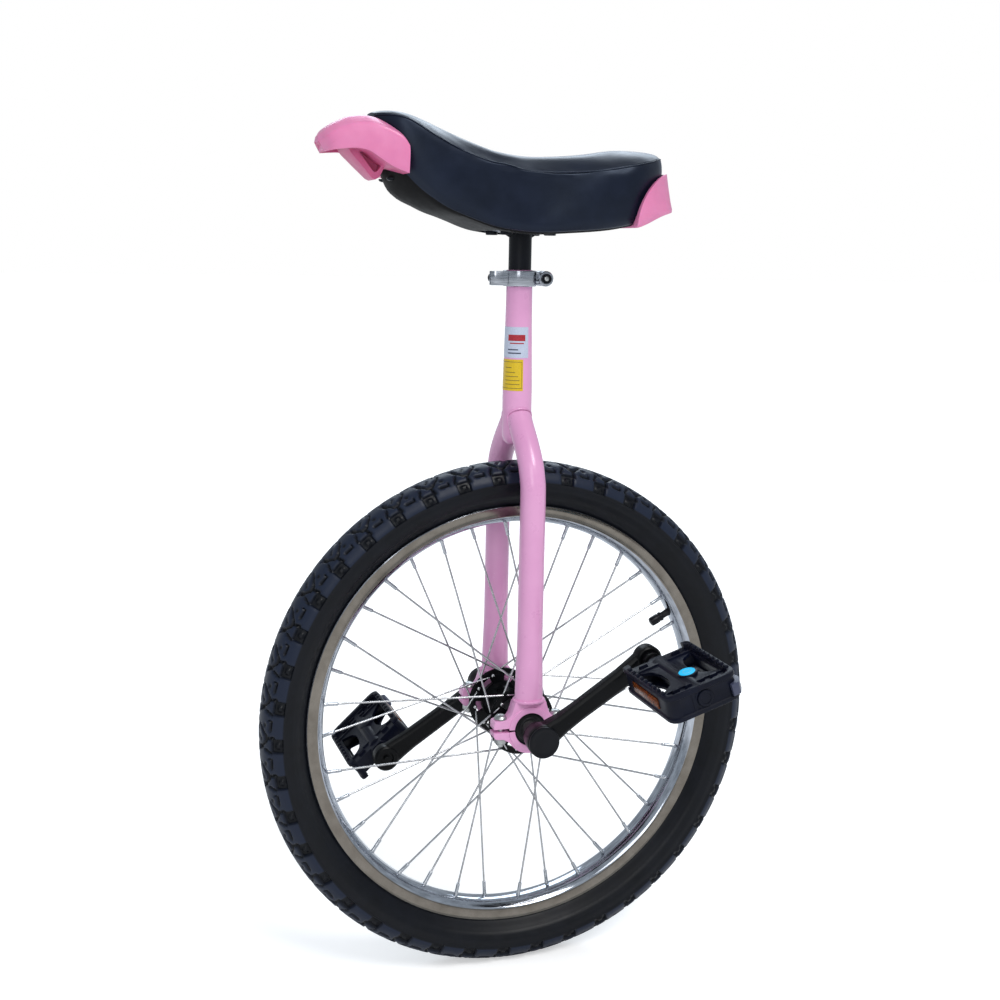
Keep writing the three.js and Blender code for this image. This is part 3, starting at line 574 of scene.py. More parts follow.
def weld_line(side):
    """Points where a leg's skin meets the seat tube, as a closed curve."""
    pts = leg_centre(side, 10)
    top, bottom = [], []
    for phi in np.linspace(-75, 75, 61):
        a = math.radians(phi)
        x, y = TUBE_R_LOW * math.sin(a), side * TUBE_R_LOW * math.cos(a)
        zs = np.arange(566, 519, -0.25)
        p = np.stack([np.full_like(zs, x), np.full_like(zs, y), zs], 1)
        inside = np.linalg.norm(p[:, None] - pts[None], axis=2).min(1) < 12.25
        if inside.any():
            k = np.nonzero(inside)[0]
            top.append((x, y, zs[k[0]]))
            bottom.append((x, y, zs[k[-1]]))
    return np.array(top + bottom[::-1][1:-1])


def bead(path, radius, pitch, loop, seed):
    """Weld bead: overlapping puddles along a curve."""
    rng = np.random.default_rng(seed)
    p = arr(path)
    if loop:
        p = np.concatenate([p, p[:1]])
    step = np.linalg.norm(np.diff(p, axis=0), axis=1)
    at = np.concatenate([[0], np.cumsum(step)])
    n = max(12, int(at[-1] / 0.55))
    want = np.linspace(0, at[-1], n, endpoint=not loop)
    q = np.stack([np.interp(want, at, p[:, i]) for i in range(3)], 1)
    wave = np.abs(np.sin(math.pi * want / pitch))
    r = radius * (0.9 + 0.13 * wave + 0.03 * rng.standard_normal(n))
    return tube(q, r, seg=10, loop=loop)


def make_frame(M):
    profile = [(0.02, 519), (5, 519.3), (9.4, 520.8), (12.3, 523.6), (13.9, 527.8), (TUBE_R_LOW, 533),
               (TUBE_R_LOW, 575), (14.0, 592), (13.2, 630), (12.85, 655), (TUBE_R_TOP, 672),
               (TUBE_R_TOP, 690.3), (12.4, 691), (11.7, 691), (TUBE_BORE_R, 690.6), (TUBE_BORE_R, 527),
               (0.02, 527)]
    tube_piece = build("seat_tube_shape", *lathe(profile, 72, "z"))
    fix_normals(tube_piece)
    cut_away(tube_piece, [block(-20, -6, -0.9, 0.9, 671, 700)])
    tube_piece.name = "seat_tube_painted"
    shade(tube_piece, 40)
    finished(tube_piece, M["paint"], "frame", "seat_tube")
    for name, s in SIDES:
        leg = build(f"{name}_fork_leg_painted", *leg_skin(s))
        fix_normals(leg)
        far = (-60, 60, 0, 200) if s < 0 else (-60, 60, -200, 0)
        cut_away(leg, [lathe([(0.02, 510), (12.9, 510), (12.9, 620), (0.02, 620)], 48, "z"),
                       block(*far, 200, 620)])
        shade(leg, 40)
        finished(leg, M["paint"], "frame", f"{name}_fork_leg")
        piece(f"{name}_crown_weld", bead(weld_line(s), 1.15, 3.6, True, 3 + s), M["weld"], "frame")
        foot = [(14.2 * math.cos(a), s * 50 + 11.4 * math.sin(a), 279.2) for a in np.linspace(0,
                2 * math.pi, 90)[:-1]]
        piece(f"{name}_foot_weld", bead(foot, 1.9, 3.6, True, 9 + s), M["weld"], "frame")
        make_bearing_block(M, name, s)


LIP_R = 15.9         # inner edge of the holder's lips over the bearing


def make_bearing_block(M, name, s):
    z, y0, y1 = AXLE_Z, s * 50 - 6.5, s * 50 + 6.5
    edge = [(36.5, 2), (36.5, 7.2), (35.4, 9.2), (33, 10), (27.5, 10.2), (23.6, 10.8), (20.8, 12.8),
            (18.8, 16),
            (17.2, 20.6), (15.9, 25.2), (15.2, 26.6)]
    outline = [(-x, z + h) for x, h in edge] + [(x, z + h) for x, h in edge[::-1]] + arc(0, z, 20.3, 6, 174,
                                                                                         32)
    lip = arc(0, z, 21.5, 178, 2, 30) + arc(0, z, LIP_R, 2, 178, 30)
    holder = build(f"{name}_bearing_holder_painted", *plate(outline, y0, y1))
    fix_normals(holder)
    added(holder, [plate(lip, y, y + 1.7) for y in (y0 - 1.2, y1 - 0.5)])
    bevelled(holder, 1.2, 3)
    finished(holder, M["paint"], "frame", f"{name}_bearing_holder")
    ear = [(36.5, -1.5), (36.5, -5.6), (34.6, -7.6), (31, -8.1), (26.6, -8.4), (23.2, -10.4)]
    lower = [(x, z + h) for x, h in ear] + arc(0, z, 23.6, -30, -150, 22) + [(-x, z + h) for x,
                                                                             h in ear[::-1]]
    cap = build(f"{name}_bearing_cap_painted", *plate(lower + arc(0, z, 20.3, -175, -5, 32), y0, y1))
    fix_normals(cap)
    lip = arc(0, z, 21.5, -4, -176, 30) + arc(0, z, LIP_R, -176, -4, 30)
    added(cap, [plate(lip, y, y + 1.7) for y in (y0 - 1.2, y1 - 0.5)])
    bevelled(cap, 1.1, 3)
    finished(cap, M["paint"], "frame", f"{name}_bearing_cap")
    for end, e in (("front", -1), ("rear", 1)):
        x, y = e * 28.0, s * 50.0
        head = [(0.02, 15.2), (2.6, 14.9), (4.6, 14.0), (6.0, 12.4), (6.5, 11.3), (6.4, 10.8), (2.7, 10.8),
                (2.7, -16.4), (2.2, -17), (0.02, -17)]
        piece(f"{name}_{end}_cap_bolt_plated", shifted(lathe(head, 28, "z"), (x, y, z)), M["zinc"], "frame",
              f"{name}_{end}_cap_bolt")
        nut = build(f"{name}_{end}_cap_nut_plated", *shifted(lathe(
            [(2.75, -13.4), (5.5, -13.4), (6.3, -12.8), (6.3, -8.6), (5.5, -8.3), (2.75, -8.3)], 6, "z",
            closed=True),
            (x, y, z)))
        fix_normals(nut)
        bevelled(nut, 0.35, 2)
        finished(nut, M["zinc"], "frame", f"{name}_{end}_cap_nut")
    ring = [(17.4, 5.6), (17.6, 6), (19.6, 6), (19.95, 5.5), (19.95, -5.5), (19.6, -6), (17.6, -6),
            (17.4, -5.6),
            (17.3, -5.0), (14.3, -4.8), (14.3, 4.8), (17.3, 5.0)]
    piece(f"{name}_bearing_outer_race", lathe(ring, 48, centre=(0, s * 50, z), closed=True),
          M["dark_steel"], "frame",
          f"{name}_bearing_outer_ring")
    race = [(8.56, 5.6), (8.9, 6), (10.6, 6), (11, 5.6), (11, 5), (13.9, 4.8), (13.9, -4.8), (11, -5),
            (11, -5.6),
            (10.6, -6), (8.9, -6), (8.56, -5.6)]
    piece(f"{name}_bearing_inner_race", lathe(race, 48, centre=(0, s * 50, z), closed=True), M["seal"],
          "wheel",
          f"{name}_bearing_inner_ring")


def curved_sticker(name, z0, z1, a0, a1, radius, paint, M, inks=()):
    """A thin label on the seat tube; inks are (z0, z1, a0, a1, material) patches on it."""
    def patch(za, zb, aa, ab, lift, thick=0.12):
        na, nz = max(3, int(abs(ab - aa) / 5)), 3
        rings = []
        for z in np.linspace(za, zb, nz):
            r = radius(z) + lift
            out = [(( r + thick) * math.cos(math.radians(a)), (r + thick) * math.sin(math.radians(a)), z)
                   for a in np.linspace(aa, ab, na)]
            inn = [(r * math.cos(math.radians(a)), r * math.sin(math.radians(a)), z)
                   for a in np.linspace(ab, aa, na)]
            rings.append(out + inn)
        return loft(rings)
    piece(name, patch(z0, z1, a0, a1, 0.05), M[paint], "frame")
    for i, (za, zb, aa, ab, ink) in enumerate(inks):
        piece(f"{name}_print_{i + 1}", patch(za, zb, aa, ab, 0.14), M[ink], "frame")


def tube_radius(z):
    return float(np.interp(z, [575, 592, 630, 655, 672], [14.3, 14.0, 13.2, 12.85, 12.7]))


def make_stickers(M):
    """Two plain labels: only bands and a border, with nothing written on them."""
    curved_sticker("white_label", 606, 636, 150, 296, tube_radius, "white_label", M,
                   [(622.5, 628.5, 205, 280, "red_ink"), (619.6, 620.7, 214, 274, "red_ink"),
                    (610.0, 611.2, 205, 262, "grey_ink"), (613.4, 614.6, 205, 250, "grey_ink")])
    rows = [(596.2, 596.9, 225), (591.6, 592.2, 240), (587.6, 588.2, 252), (583.8, 584.4, 258),
            (580.0, 580.6, 258)]
    border = [(576.2, 576.7, 155, 267), (601.8, 602.3, 155, 267), (576.2, 602.3, 266, 267.4)]
    curved_sticker("yellow_label", 574, 604.5, 150, 272, tube_radius, "yellow_label", M,
                   [(a, b, 195, c, "olive_ink") for a, b, c in rows]
                   + [(a, b, c, d, "olive_ink") for a, b, c, d in border])


# ------------------------------------------------------------------ seat clamp and post
def make_clamp(M):
    z0, z1 = 675.2, 690.5
    zc = (z0 + z1) / 2
    ring = build("seat_clamp_band", *lathe([(13.2, z0), (15.9, z0), (16.4, z0 + 0.5), (16.4, z1 - 0.5),
                                            (15.9, z1), (13.2, z1)], 72, "z", closed=True))
    fix_normals(ring)
    lug = block(12.5, 24, -7.2, 7.2, z0 + 1.2, z1 - 1.2)
    barrel = lathe([(0.02, -10.2), (6.9, -10.2), (7.5, -9.6), (7.5, 8.4), (6.9, 9), (0.02, 9)], 48, "y",
                   centre=(24, 0, zc))
    fin = [(-12.5, -7), (-26.5, -7), (-29.2, -5.2), (-30, -2.4), (-30, 2.4), (-29.2, 5.2), (-26.5, 7),
           (-12.5, 7)]
    added(ring, [lug, barrel, plate(fin, z0 + 0.8, z1 - 0.8, "xy")])
    for z in (zc - 4.4, zc - 1.5, zc + 1.5, zc + 4.4):
        # a few grip notches on the rear lug's near face
        cut_away(ring, [block(14.5, 18.6, -8, -6.5, z - 0.55, z + 0.55)])
    cut_away(ring, [lathe([(0.02, 600), (13.2, 600), (13.2, 760), (0.02, 760)], 72, "z"),
                    block(10, 40, -1.3, 1.3, 600, 760), block(-40, -17, -1.3, 1.3, 600, 760)])
    cut_away(ring, [lathe([(0.02, -20), (3.1, -20), (3.1, 20), (0.02, 20)], 20, "y", centre=(24, 0, zc)),
                    lathe([(0.02, -4), (3.1, -4), (3.1, 20), (0.02, 20)], 20, "y", centre=(-24, 0, zc))])
    bevelled(ring, 0.45, 2, angle=40, smooth=32)
    finished(ring, M["alloy"], "clamp", "seat_clamp")
    rear = [(0.02, -11.4), (2.7, -11.4), (2.7, -12.6), (4.4, -12.8), (4.9, -12.2), (4.9, -10.3),
            (2.8, -10.3),
            (2.8, 10.6), (2.4, 11), (0.02, 11)]
    piece("rear_clamp_bolt_black", shifted(lathe(rear, 36, "y"), (24, 0, zc)), M["dark_steel"], "clamp",
          "rear_clamp_bolt", smooth=30)
    socket = [(0.02, -12.5), (1.7, -12.3), (2.6, -11.8), (2.6, -11.0), (0.02, -11.0)]
    piece("rear_clamp_bolt_socket", shifted(lathe(socket, 24, "y"), (24, 0, zc)), M["zinc"], "clamp")
    front = [(0.02, 12.6), (2.3, 12.6), (2.5, 11.2), (4.7, 11.4), (5.2, 10.8), (5.2, 7.4), (2.8, 7.4),
             (2.8, -3.6), (0.02, -3.8)]
    piece("front_clamp_bolt_black", shifted(lathe(front, 36, "y"), (-24, 0, zc)), M["dark_steel"], "clamp",
          "front_clamp_bolt", smooth=30)


def make_post(M):
    plate_z = span("saddle_nut_front_left")[1][2] + 0.3          # 730.5
    tube_part = lathe([(9.3, 560), (10.8, 560), (11.1, 560.4), (11.1, plate_z + 1), (9.3, plate_z + 1)], 64,
                      "z",
                      closed=True)
    post = piece("seat_post_painted", tube_part, M["post"], "saddle", ("seat_post",))
    shelf = build("seat_post_plate", *block(-32, 32, -32, 32, plate_z, plate_z + 4))
    fix_normals(shelf)
    bevelled(shelf, 1.2, 2)
    finished(shelf, M["post"], "saddle")
    rib = [(-26, plate_z + 1), (26, plate_z + 1), (10, plate_z - 9), (-10, plate_z - 9)]
    web = build("seat_post_gusset", *plate(rib, -1.5, 1.5))
    fix_normals(web)
    bevelled(web, 0.5, 2)
    finished(web, M["post"], "saddle")
    for x in (-22, 22):
        for y in (-22, 22):
            node = f"saddle_nut_{'front' if x < 0 else 'rear'}_{'left' if y < 0 else 'right'}"
            nut = build(node + "_plated", *shifted(lathe([(3.3, -6), (5.6, -6), (6.4, -5.4), (6.4, -0.3),
                                                          (3.3, -0.3)],
                                                         6, "z", closed=True), (x, y, plate_z)))
            fix_normals(nut)
            bevelled(nut, 0.35, 2)
            finished(nut, M["dark_steel"], "saddle", node)
    return post


# ------------------------------------------------------------------ wheel
PITCHES = 42


def tyre_profile():
    """Half profile of the outside, bead to crown, as (radius, half width)."""
    pts = [(203.6, 12.1), (206.0, 12.9), (208.6, 13.1), (210.8, 15.2), (216, 20.8), (220.5, 24.4),
           (225, 26.3),
           (231, 26.5), (237, 25.1), (242, 22.0), (246.2, 18.0), (249.6, 12.6), (251.5, 6.6), (TYRE_R, 0)]
    return smooth_path([(r, w, 0) for r, w in pts], 12)[:, :2]


def capsule(u, s, a, b, half):
    """Signed distance to a groove running from a to b."""
    a, b = np.array(a, float), np.array(b, float)
    d = b - a
    t = np.clip(((u - a[0]) * d[0] + (s - a[1]) * d[1]) / (d @ d), 0, 1)
    return np.hypot(u - a[0] - t * d[0], s - a[1] - t * d[1]) - half


def rounded(u, s, cu, cs, hu, hs, r=0.5):
    qu, qs = np.abs(u - cu) - hu + r, np.abs(s - cs) - hs + r
    return np.hypot(np.maximum(qu, 0), np.maximum(qs, 0)) + np.minimum(np.maximum(qu, qs), 0) - r


TREAD_STRETCH = 1.2


def tread_depth(u, s, L):
    """How far the tread is cut in at u along the pitch and s across, both in millimetres."""
    def ramp(sd, depth, soft=0.75):
        return depth * np.clip(0.5 - sd / (2 * soft), 0, 1)
    flip = s < 0
    u = np.where(flip, (u + 0.5 * L) % L, u)
    s = np.abs(s) / TREAD_STRETCH
    depth = np.zeros_like(u)
    for shift in (-L, 0, L):
        v = u - shift
        cuts = [
            (capsule(v, s, (0.28 * L, 6.6), (0.46 * L, 12.4), 0.95), 2.5),
            (capsule(v, s, (0.46 * L, 12.4), (0.60 * L, 12.8), 1.5), 2.8),
            (capsule(v, s, (0.60 * L, 12.8), (0.76 * L, 8.0), 0.95), 2.5),
            (capsule(v, s, (0.76 * L, 8.0), (0.86 * L, 0.0), 1.7), 3.2),
            (capsule(v, s, (0.28 * L, 6.6), (0.22 * L, 3.2), 0.8), 2.0),
            (capsule(v, s, (0.53 * L, 13.0), (0.50 * L, 20.0), 1.3), 2.8),
            (capsule(v, s, (0.82 * L, 12.0), (0.90 * L, 18.2), 1.0), 2.2),
            (rounded(v, s, 0.70 * L, 23.8, 0.185 * L, 4.8), 3.0),
            (capsule(v, s, (0.07 * L, 17.8), (0.31 * L, 17.4), 0.95), 2.2),
            (capsule(v, s, (0.07 * L, 17.8), (0.06 * L, 15.4), 0.85), 2.2),
            (rounded(v, s, 0.20 * L, 11.2, 0.05 * L, 1.4), 1.2),
            (capsule(v, s, (0.52 * L, 3.0), (0.60 * L, 7.0), 0.8), 1.6),
        ]
        for sd, d in cuts:
            depth = np.maximum(depth, ramp(sd, d))
        stud = rounded(v, s, 0.70 * L, 24.2, 0.055 * L, 1.7)
        depth = np.minimum(depth, np.where(stud < 1.2, 0.9 + 1.6 * np.clip(0.5 + stud / 1.2, 0, 1), 9))
    shoulder = np.clip((s - 28.8) / 1.3, 0, 1)
    depth = depth * (1 - shoulder)
    return depth + 1.5 * shoulder


def make_tyre(M):
    half = tyre_profile()
    seg = np.hypot(*np.diff(half, axis=0).T)
    at = np.concatenate([[0], np.cumsum(seg)])
    total = at[-1]
    tread = 37.5
    n_side, n_tread, per = 13, 28, 25
    want = np.concatenate([np.linspace(0, total - tread, n_side, endpoint=False),
                           np.linspace(total - tread, total, n_tread)])
    r = np.interp(want, at, half[:, 0])
    w = np.interp(want, at, half[:, 1])
    s = total - want
    nr, nw = np.gradient(w), -np.gradient(r)
    length = np.hypot(nr, nw)
    nr, nw = -nr / length, -nw / length
    nr[-1], nw[-1] = 1, 0
    side = np.concatenate([-np.ones(len(s)), np.ones(len(s) - 1)])
    R = np.concatenate([r, r[::-1][1:]])
    W = np.concatenate([-w, w[::-1][1:]])
    NR = np.concatenate([nr, nr[::-1][1:]])
    NW = np.concatenate([-nw, nw[::-1][1:]])
    S = np.concatenate([s, s[::-1][1:]]) * side
    rib = 0.6 * np.exp(-((np.abs(S) - 39.2) / 0.6) ** 2) + 0.5 * np.exp(-((np.abs(S) - 42.2) / 0.6) ** 2) \
        + 0.6 * np.exp(-((np.abs(S) - 49.5) / 0.8) ** 2)
    inner = [(206.5, 9.0), (213.8, 9.6), (226, 20.4), (238, 17.6), (243.2, 8.6)]
    inner = np.array(inner + [(r0, -w0) for r0, w0 in inner[::-1]])
    L = 2 * math.pi * TYRE_R / PITCHES
    n = PITCHES * per
    rings, painted_lit_tops = [], []
    for i in range(n):
        u = (i % per) / per * L
        d = tread_depth(np.full_like(S, u), S, L)
        rr, ww = R + NR * (rib - d), W + NW * (rib - d)
        rr, ww = np.concatenate([rr, inner[:, 0]]), np.concatenate([ww, inner[:, 1]])
        a = 2 * math.pi * i / n
        rings.append(np.stack([rr * math.cos(a), ww, AXLE_Z + rr * math.sin(a)], 1))
        # painted highlight on the block tops and painted shade in the grooves and sidewall, carried by the
        # tread attribute
        on_top = np.clip(1 - d / 0.9, 0, 1) * (np.abs(S) < 28.8 * TREAD_STRETCH)
        painted_lit_tops.append(np.concatenate([on_top, np.zeros(len(inner))]))
    tyre = piece("tyre_rubber", loft(rings, loop=True), M["tyre"], "wheel", "tyre", smooth=42)
    layer = tyre.data.attributes.new("tread", "FLOAT", "POINT")
    layer.data.foreach_set("value", np.concatenate(painted_lit_tops).astype(np.float32))


def make_rim(M):
    out = [(209.5, 12.5), (209.8, 13.3), (209.6, 14.2), (208.9, 14.7), (208.0, 14.4), (206.6, 13.9),
           (203.4, 13.7),
           (201.2, 13.9), (199.8, 14.3), (198.7, 13.9), (197.0, 12.4), (195.4, 10.7), (194.0, 9.0),
           (192.9, 7.4),
           (192.1, 5.2), (191.8, 2.6), (191.8, 0)]
    inn = [(195.0, 0), (195.0, 6.6), (196.4, 7.4), (202.6, 8.4), (203.3, 9.0), (203.6, 12.2)]
    loop = [(r, -y) for r, y in out] + [(r, y) for r, y in out[::-1][1:]] \
        + [(r, y) for r, y in inn[::-1]] + [(r, -y) for r, y in inn[1:]]
    shell = build("rim_chromed", *lathe(loop, 240, centre=(0, 0, AXLE_Z), closed=True))
    fix_normals(shell)
    hole = turned(lathe([(0.02, 185), (4.1, 185), (4.1, 215), (0.02, 215)], 24, "x"), VALVE_ANGLE)
    cut_away(shell, [shifted(hole, (0, 0, AXLE_Z))])
    shade(shell, 30)
    finished(shell, M["rim"], "wheel", "rim")
    shell.data.materials.append(M["bed"])
    co = np.empty(len(shell.data.polygons) * 3)
    shell.data.polygons.foreach_get("center", co)
    co = co.reshape(-1, 3) / MM
    radius = np.hypot(co[:, 0], co[:, 2] - AXLE_Z)
    # painted reflection on the bed and painted highlight on the outer lip, both from the brighter chrome
    # copy
    index = (((radius < 198.6) & (np.abs(co[:, 1]) < 13.8)) | (radius > 208.6)).astype(np.int32)
    shell.data.polygons.foreach_set("material_index", index)


def spoke_ends(side, i):
    """Rim angle and hub angle of one spoke in degrees, and whether it leads."""
    lean = side if i % 2 == 0 else -side
    at = 20 * i + (FIRST_SPOKE + 10 if side < 0 else FIRST_SPOKE)
    return at, at + lean * SPOKE_LEAN, lean * side > 0


def make_spokes(M):
    for name, s in SIDES:
        wires, nipples = [], []
        for i in range(18):
            rim_a, hub_a, outer = spoke_ends(s, i)
            ra, ha = math.radians(rim_a), math.radians(hub_a)
            q = np.array((193.0 * math.cos(ra), s * 3.0, 193.0 * math.sin(ra)))
            hole = np.array((SPOKE_HOLE_R * math.cos(ha), 0, SPOKE_HOLE_R * math.sin(ha)))
            face = 33.4 if outer else 28.8
            head = 29.0 if outer else 33.2
            a = hole + (0, s * face, 0)
            run = (q - a) / np.linalg.norm(q - a)
            bend = [hole + (0, s * head, 0), hole + (0, s * (head + face) / 2, 0), a + run * 0.6,
                    a + run * 2.2, a + run * 6]
            wires.append(tube(bend + [q - run * 2], [0.95] * 6, seg=10))
            knob = lathe([(0.02, -1.5), (1.2, -1.2), (1.9, -0.4), (2.0, 0.3), (0.02, 0.4)], 14, "y")
            knob = scaled(knob, (1, 1 if (head > face) == (s < 0) else -1, 1))
            wires.append(shifted(knob, hole + (0, s * (head + (0.3 if head > face else -0.3)), 0)))
            tip = q - run * 15
            radii = [1.35, 1.7, 1.75, 1.75, 1.95, 1.95, 2.5, 2.5]
            steps = [0, 0.5, 2.5, 11.2, 11.6, 13.6, 14.0, 15.6]
            nipples.append(tube([tip + run * t for t in steps], radii, seg=12))
        wires = [(v + (0, 0, AXLE_Z), f) for v, f in wires]
        nipples = [(v + (0, 0, AXLE_Z), f) for v, f in nipples]
        piece(f"{name}_spoke_wires", joined(wires), M["spoke"], "wheel", f"{name}_spokes",
              smooth=50)
        piece(f"{name}_spoke_nipples", joined(nipples), M["nipple"], "wheel", smooth=40)


def make_hub(M):
    f, t = 31.0, 2.0
    half = [(16.2, 0), (16.2, f - 9), (17.2, f - 6), (19.6, f - t - 0.4), (31.4, f - t),
            (33.2, f - t + 0.6),
            (33.8, f), (33.2, f + t - 0.6), (31.4, f + t), (20.4, f + t), (18.6, f + t + 0.6),
            (17.2, f + 4.6),
            (16.6, f + 5), (9.9, f + 5)]
    loop = [(r, -y) for r, y in half[::-1]] + [(r, y) for r, y in half[1:]]
    hub = build("hub_shell_painted", *lathe(loop, 96, centre=(0, 0, AXLE_Z), closed=True))
    fix_normals(hub)
    cutters = []
    for k in range(6):
        a0 = 60 * k + 10
        slot_line = arc(0, 0, 27.2, a0 - 13, a0 + 13, 7) + arc(0, 0, 20.6, a0 + 13, a0 - 13, 7)
        cutters.append(shifted(plate(slot_line, -45, 45), (0, 0, AXLE_Z)))
    shade(hub, 35)
    cut_away(hub, cutters)
    shade(hub, 35)
    finished(hub, M["black"], "wheel", "hub_shell")
    shaft = [(3.7, -85), (6.6, -85), (7.4, -84), (8.2, -68), (8.5, -66), (8.5, -41), (9.4, -40.5),
             (9.4, 40.5),
             (8.5, 41), (8.5, 66), (8.2, 68), (7.4, 84), (6.6, 85), (3.7, 85)]
    piece("wheel_axle_turned", lathe(shaft, 48, centre=(0, 0, AXLE_Z), closed=True), M["zinc"], "wheel",
          "wheel_axle")


def make_valve(M):
    stem = [(0.02, 173.9), (2.6, 173.9), (2.8, 174.4), (2.8, 183.6), (3.3, 184.2), (3.45, 188), (3.6, 192),
            (3.9, 197), (4.0, 206), (0.02, 206)]
    air = [(205.2, 0), (204.4, 5), (207, 7.6), (213, 8.6), (220, 16), (227, 19.6), (236, 16.4), (241.2, 8),
           (242.2, 0)]
    air = [(r, y) for r, y in air] + [(r, -y) for r, y in air[-2:0:-1]]
    cap = [(0.02, 170.1), (2.6, 170.1), (3.9, 170.6), (4.5, 171.8), (4.6, 174.0), (4.6, 179.4),
           (4.0, 180.2),
           (4.0, 181.0), (4.6, 181.8), (4.6, 183.4), (4.2, 184.0), (0.02, 184.0)]
    up = (0, 0, AXLE_Z)
    ring = lathe(air, 96, closed=True)
    piece("inner_tube_rubber", shifted(joined([turned(lathe(stem, 30, "x"), VALVE_ANGLE), ring]), up),
          M["tube"],
          "wheel", "inner_tube", smooth=38)
    piece("valve_cap_moulded", shifted(turned(lathe(cap, 30, "x"), VALVE_ANGLE), up), M["cap"], "wheel",
          "valve_cap", smooth=38)
    tape = [(195.5, -6.3), (195.5, 6.3), (196.5, 6.5), (196.5, -6.5)]
    piece("rim_tape_band", shifted(lathe(tape, 160, closed=True), up), M["tape"], "wheel", "rim_tape")


# ------------------------------------------------------------------ cranks
def crank_frame(name, part):
    """From a crank built along +X at the axle to its place on the wheel."""
    turn = CRANK_ANGLE if name == "left" else 180 + CRANK_ANGLE
    return shifted(turned(part, turn), (0, 0, AXLE_Z))


def make_crank(M, name, s):
    L = CRANK_LENGTH
    n = 36
    rings = []
    for i in range(n + 1):
        x = 4 + (L - 4) * i / n
        y = s * (84 + 5 * min(1, max(0, (x - 16) / (L - 32))))
        h = np.interp(x, [4, 14, 24, 44, L - 30, L - 14, L], [11.0, 10.4, 9.0, 8.7, 9.5, 10.8, 12.0])
        t = np.interp(x, [4, 20, 40, L - 20, L], [7.5, 7.2, 6.2, 5.8, 6.0])
        # flat faces with a broad chamfer along every edge
        ring = [(h - 3.2, t), (h, t - 2.4), (h, -t + 2.4), (h - 3.2, -t)]
        ring = ring + [(-a, -b) for a, b in ring]
        rings.append([(x, y + b, a) for a, b in ring])
    arm = build(f"{name}_crank_forged", *loft(rings))
    fix_normals(arm)
    eye = lathe([(0.02, -6.8), (11.2, -6.8), (13.2, -5.0), (13.2, 5.0), (11.2, 6.8), (0.02, 6.8)],
                64, "y", centre=(L, s * 89, 0))
    boss = [(0.02, 72.4), (12.2, 72.4), (13.2, 73.2), (14.2, 79), (15, 86), (15.2, 88), (15.2, 91.4),
            (14.4, 92.2),
            (0.02, 92.2)]
    added(arm, [eye, lathe([(r, s * y) for r, y in boss], 64, "y")])
    cut_away(arm, [lathe([(0.02, s * 85.3), (11, s * 85.3), (11, s * 99), (0.02, s * 99)], 48, "y"),
                   block(-5.8, 5.8, min(s * 60, s * 86), max(s * 60, s * 86), -5.8, 5.8),
                   lathe([(0.02, s * 70), (7.0, s * 70), (7.0, s * 110), (0.02, s * 110)], 40, "y",
                         centre=(L, 0, 0))])
    bevelled(arm, 0.4, 2, angle=24, smooth=30)
    arm.data.transform(place_matrix(CRANK_ANGLE if name == "left" else 180 + CRANK_ANGLE, (0, 0, AXLE_Z)))
    finished(arm, M["black"], "wheel", f"{name}_crank")
    bolt = [(0.02, 68.2), (3.4, 68.2), (3.4, 85.4), (8.6, 85.5), (8.6, 86.6), (6.4, 86.9), (6.4, 91.4),
            (0.02, 91.4)]
    piece(f"{name}_crank_bolt_plated", crank_frame(name, lathe([(r, s * y) for r, y in bolt], 36, "y")),
          M["zinc"],
          "wheel", f"{name}_crank_bolt")
    dust = [(0.02, 92.5), (14.4, 92.5), (15, 93.0), (15, 94.6), (14.6, 95.3), (13.8, 95.65), (12.4, 95.7),
            (11.9, 95.45), (9, 95.5), (4, 95.6), (0.02, 95.62)]
    piece(f"{name}_dust_cap_moulded", crank_frame(name, lathe([(r, s * y) for r, y in dust], 72, "y")),
          M["cap"],
          "wheel", f"{name}_dust_cap")
    pin = [(0.02, 81), (3.2, 81), (3.2, 84), (6.4, 84), (6.6, 84.5), (6.6, 96.3), (9.0, 96.5), (9.0, 102.6),
           (8.4, 103),
           (6.9, 103.2), (6.6, 108), (6.2, 108.4), (6.2, 200.4), (5.6, 201), (0.02, 201)]
    piece(f"{name}_pedal_spindle_turned", crank_frame(name, lathe([(r, s * y) for r, y in pin], 44, "y",
                                                                  centre=(L, 0, 0))), M["black"],
          "wheel", f"{name}_pedal_spindle")


def place_matrix(angle, shift_mm):
    """Turn by an angle in degrees that lifts +X towards +Z, then a shift, in metres."""
    a = math.radians(angle)
    turn = Matrix(((math.cos(a), 0, -math.sin(a), 0), (0, 1, 0, 0), (math.sin(a), 0, math.cos(a), 0),
                   (0, 0, 0, 1)))
    return Matrix.Translation(Vector(shift_mm) * MM) @ turn


# ------------------------------------------------------------------ pedals
def rounded_outline(points, radius, n=6):
    """Closed outline with its corners rounded, by one radius or by one for each corner."""
    out = []
    p = [np.array(q, float) for q in points]
    for i, c in enumerate(p):
        a, b = p[i - 1], p[(i + 1) % len(p)]
        r = radius[i] if hasattr(radius, "__len__") else radius
        ra = c + (a - c) / np.linalg.norm(a - c) * r
        rb = c + (b - c) / np.linalg.norm(b - c) * r
        for t in np.linspace(0, 1, n):
            out.append((1 - t) ** 2 * ra + 2 * t * (1 - t) * c + t * t * rb)
    return np.array(out)


DECK_TOP = 7.5         # top of the pedal's pierced deck, above its middle plane


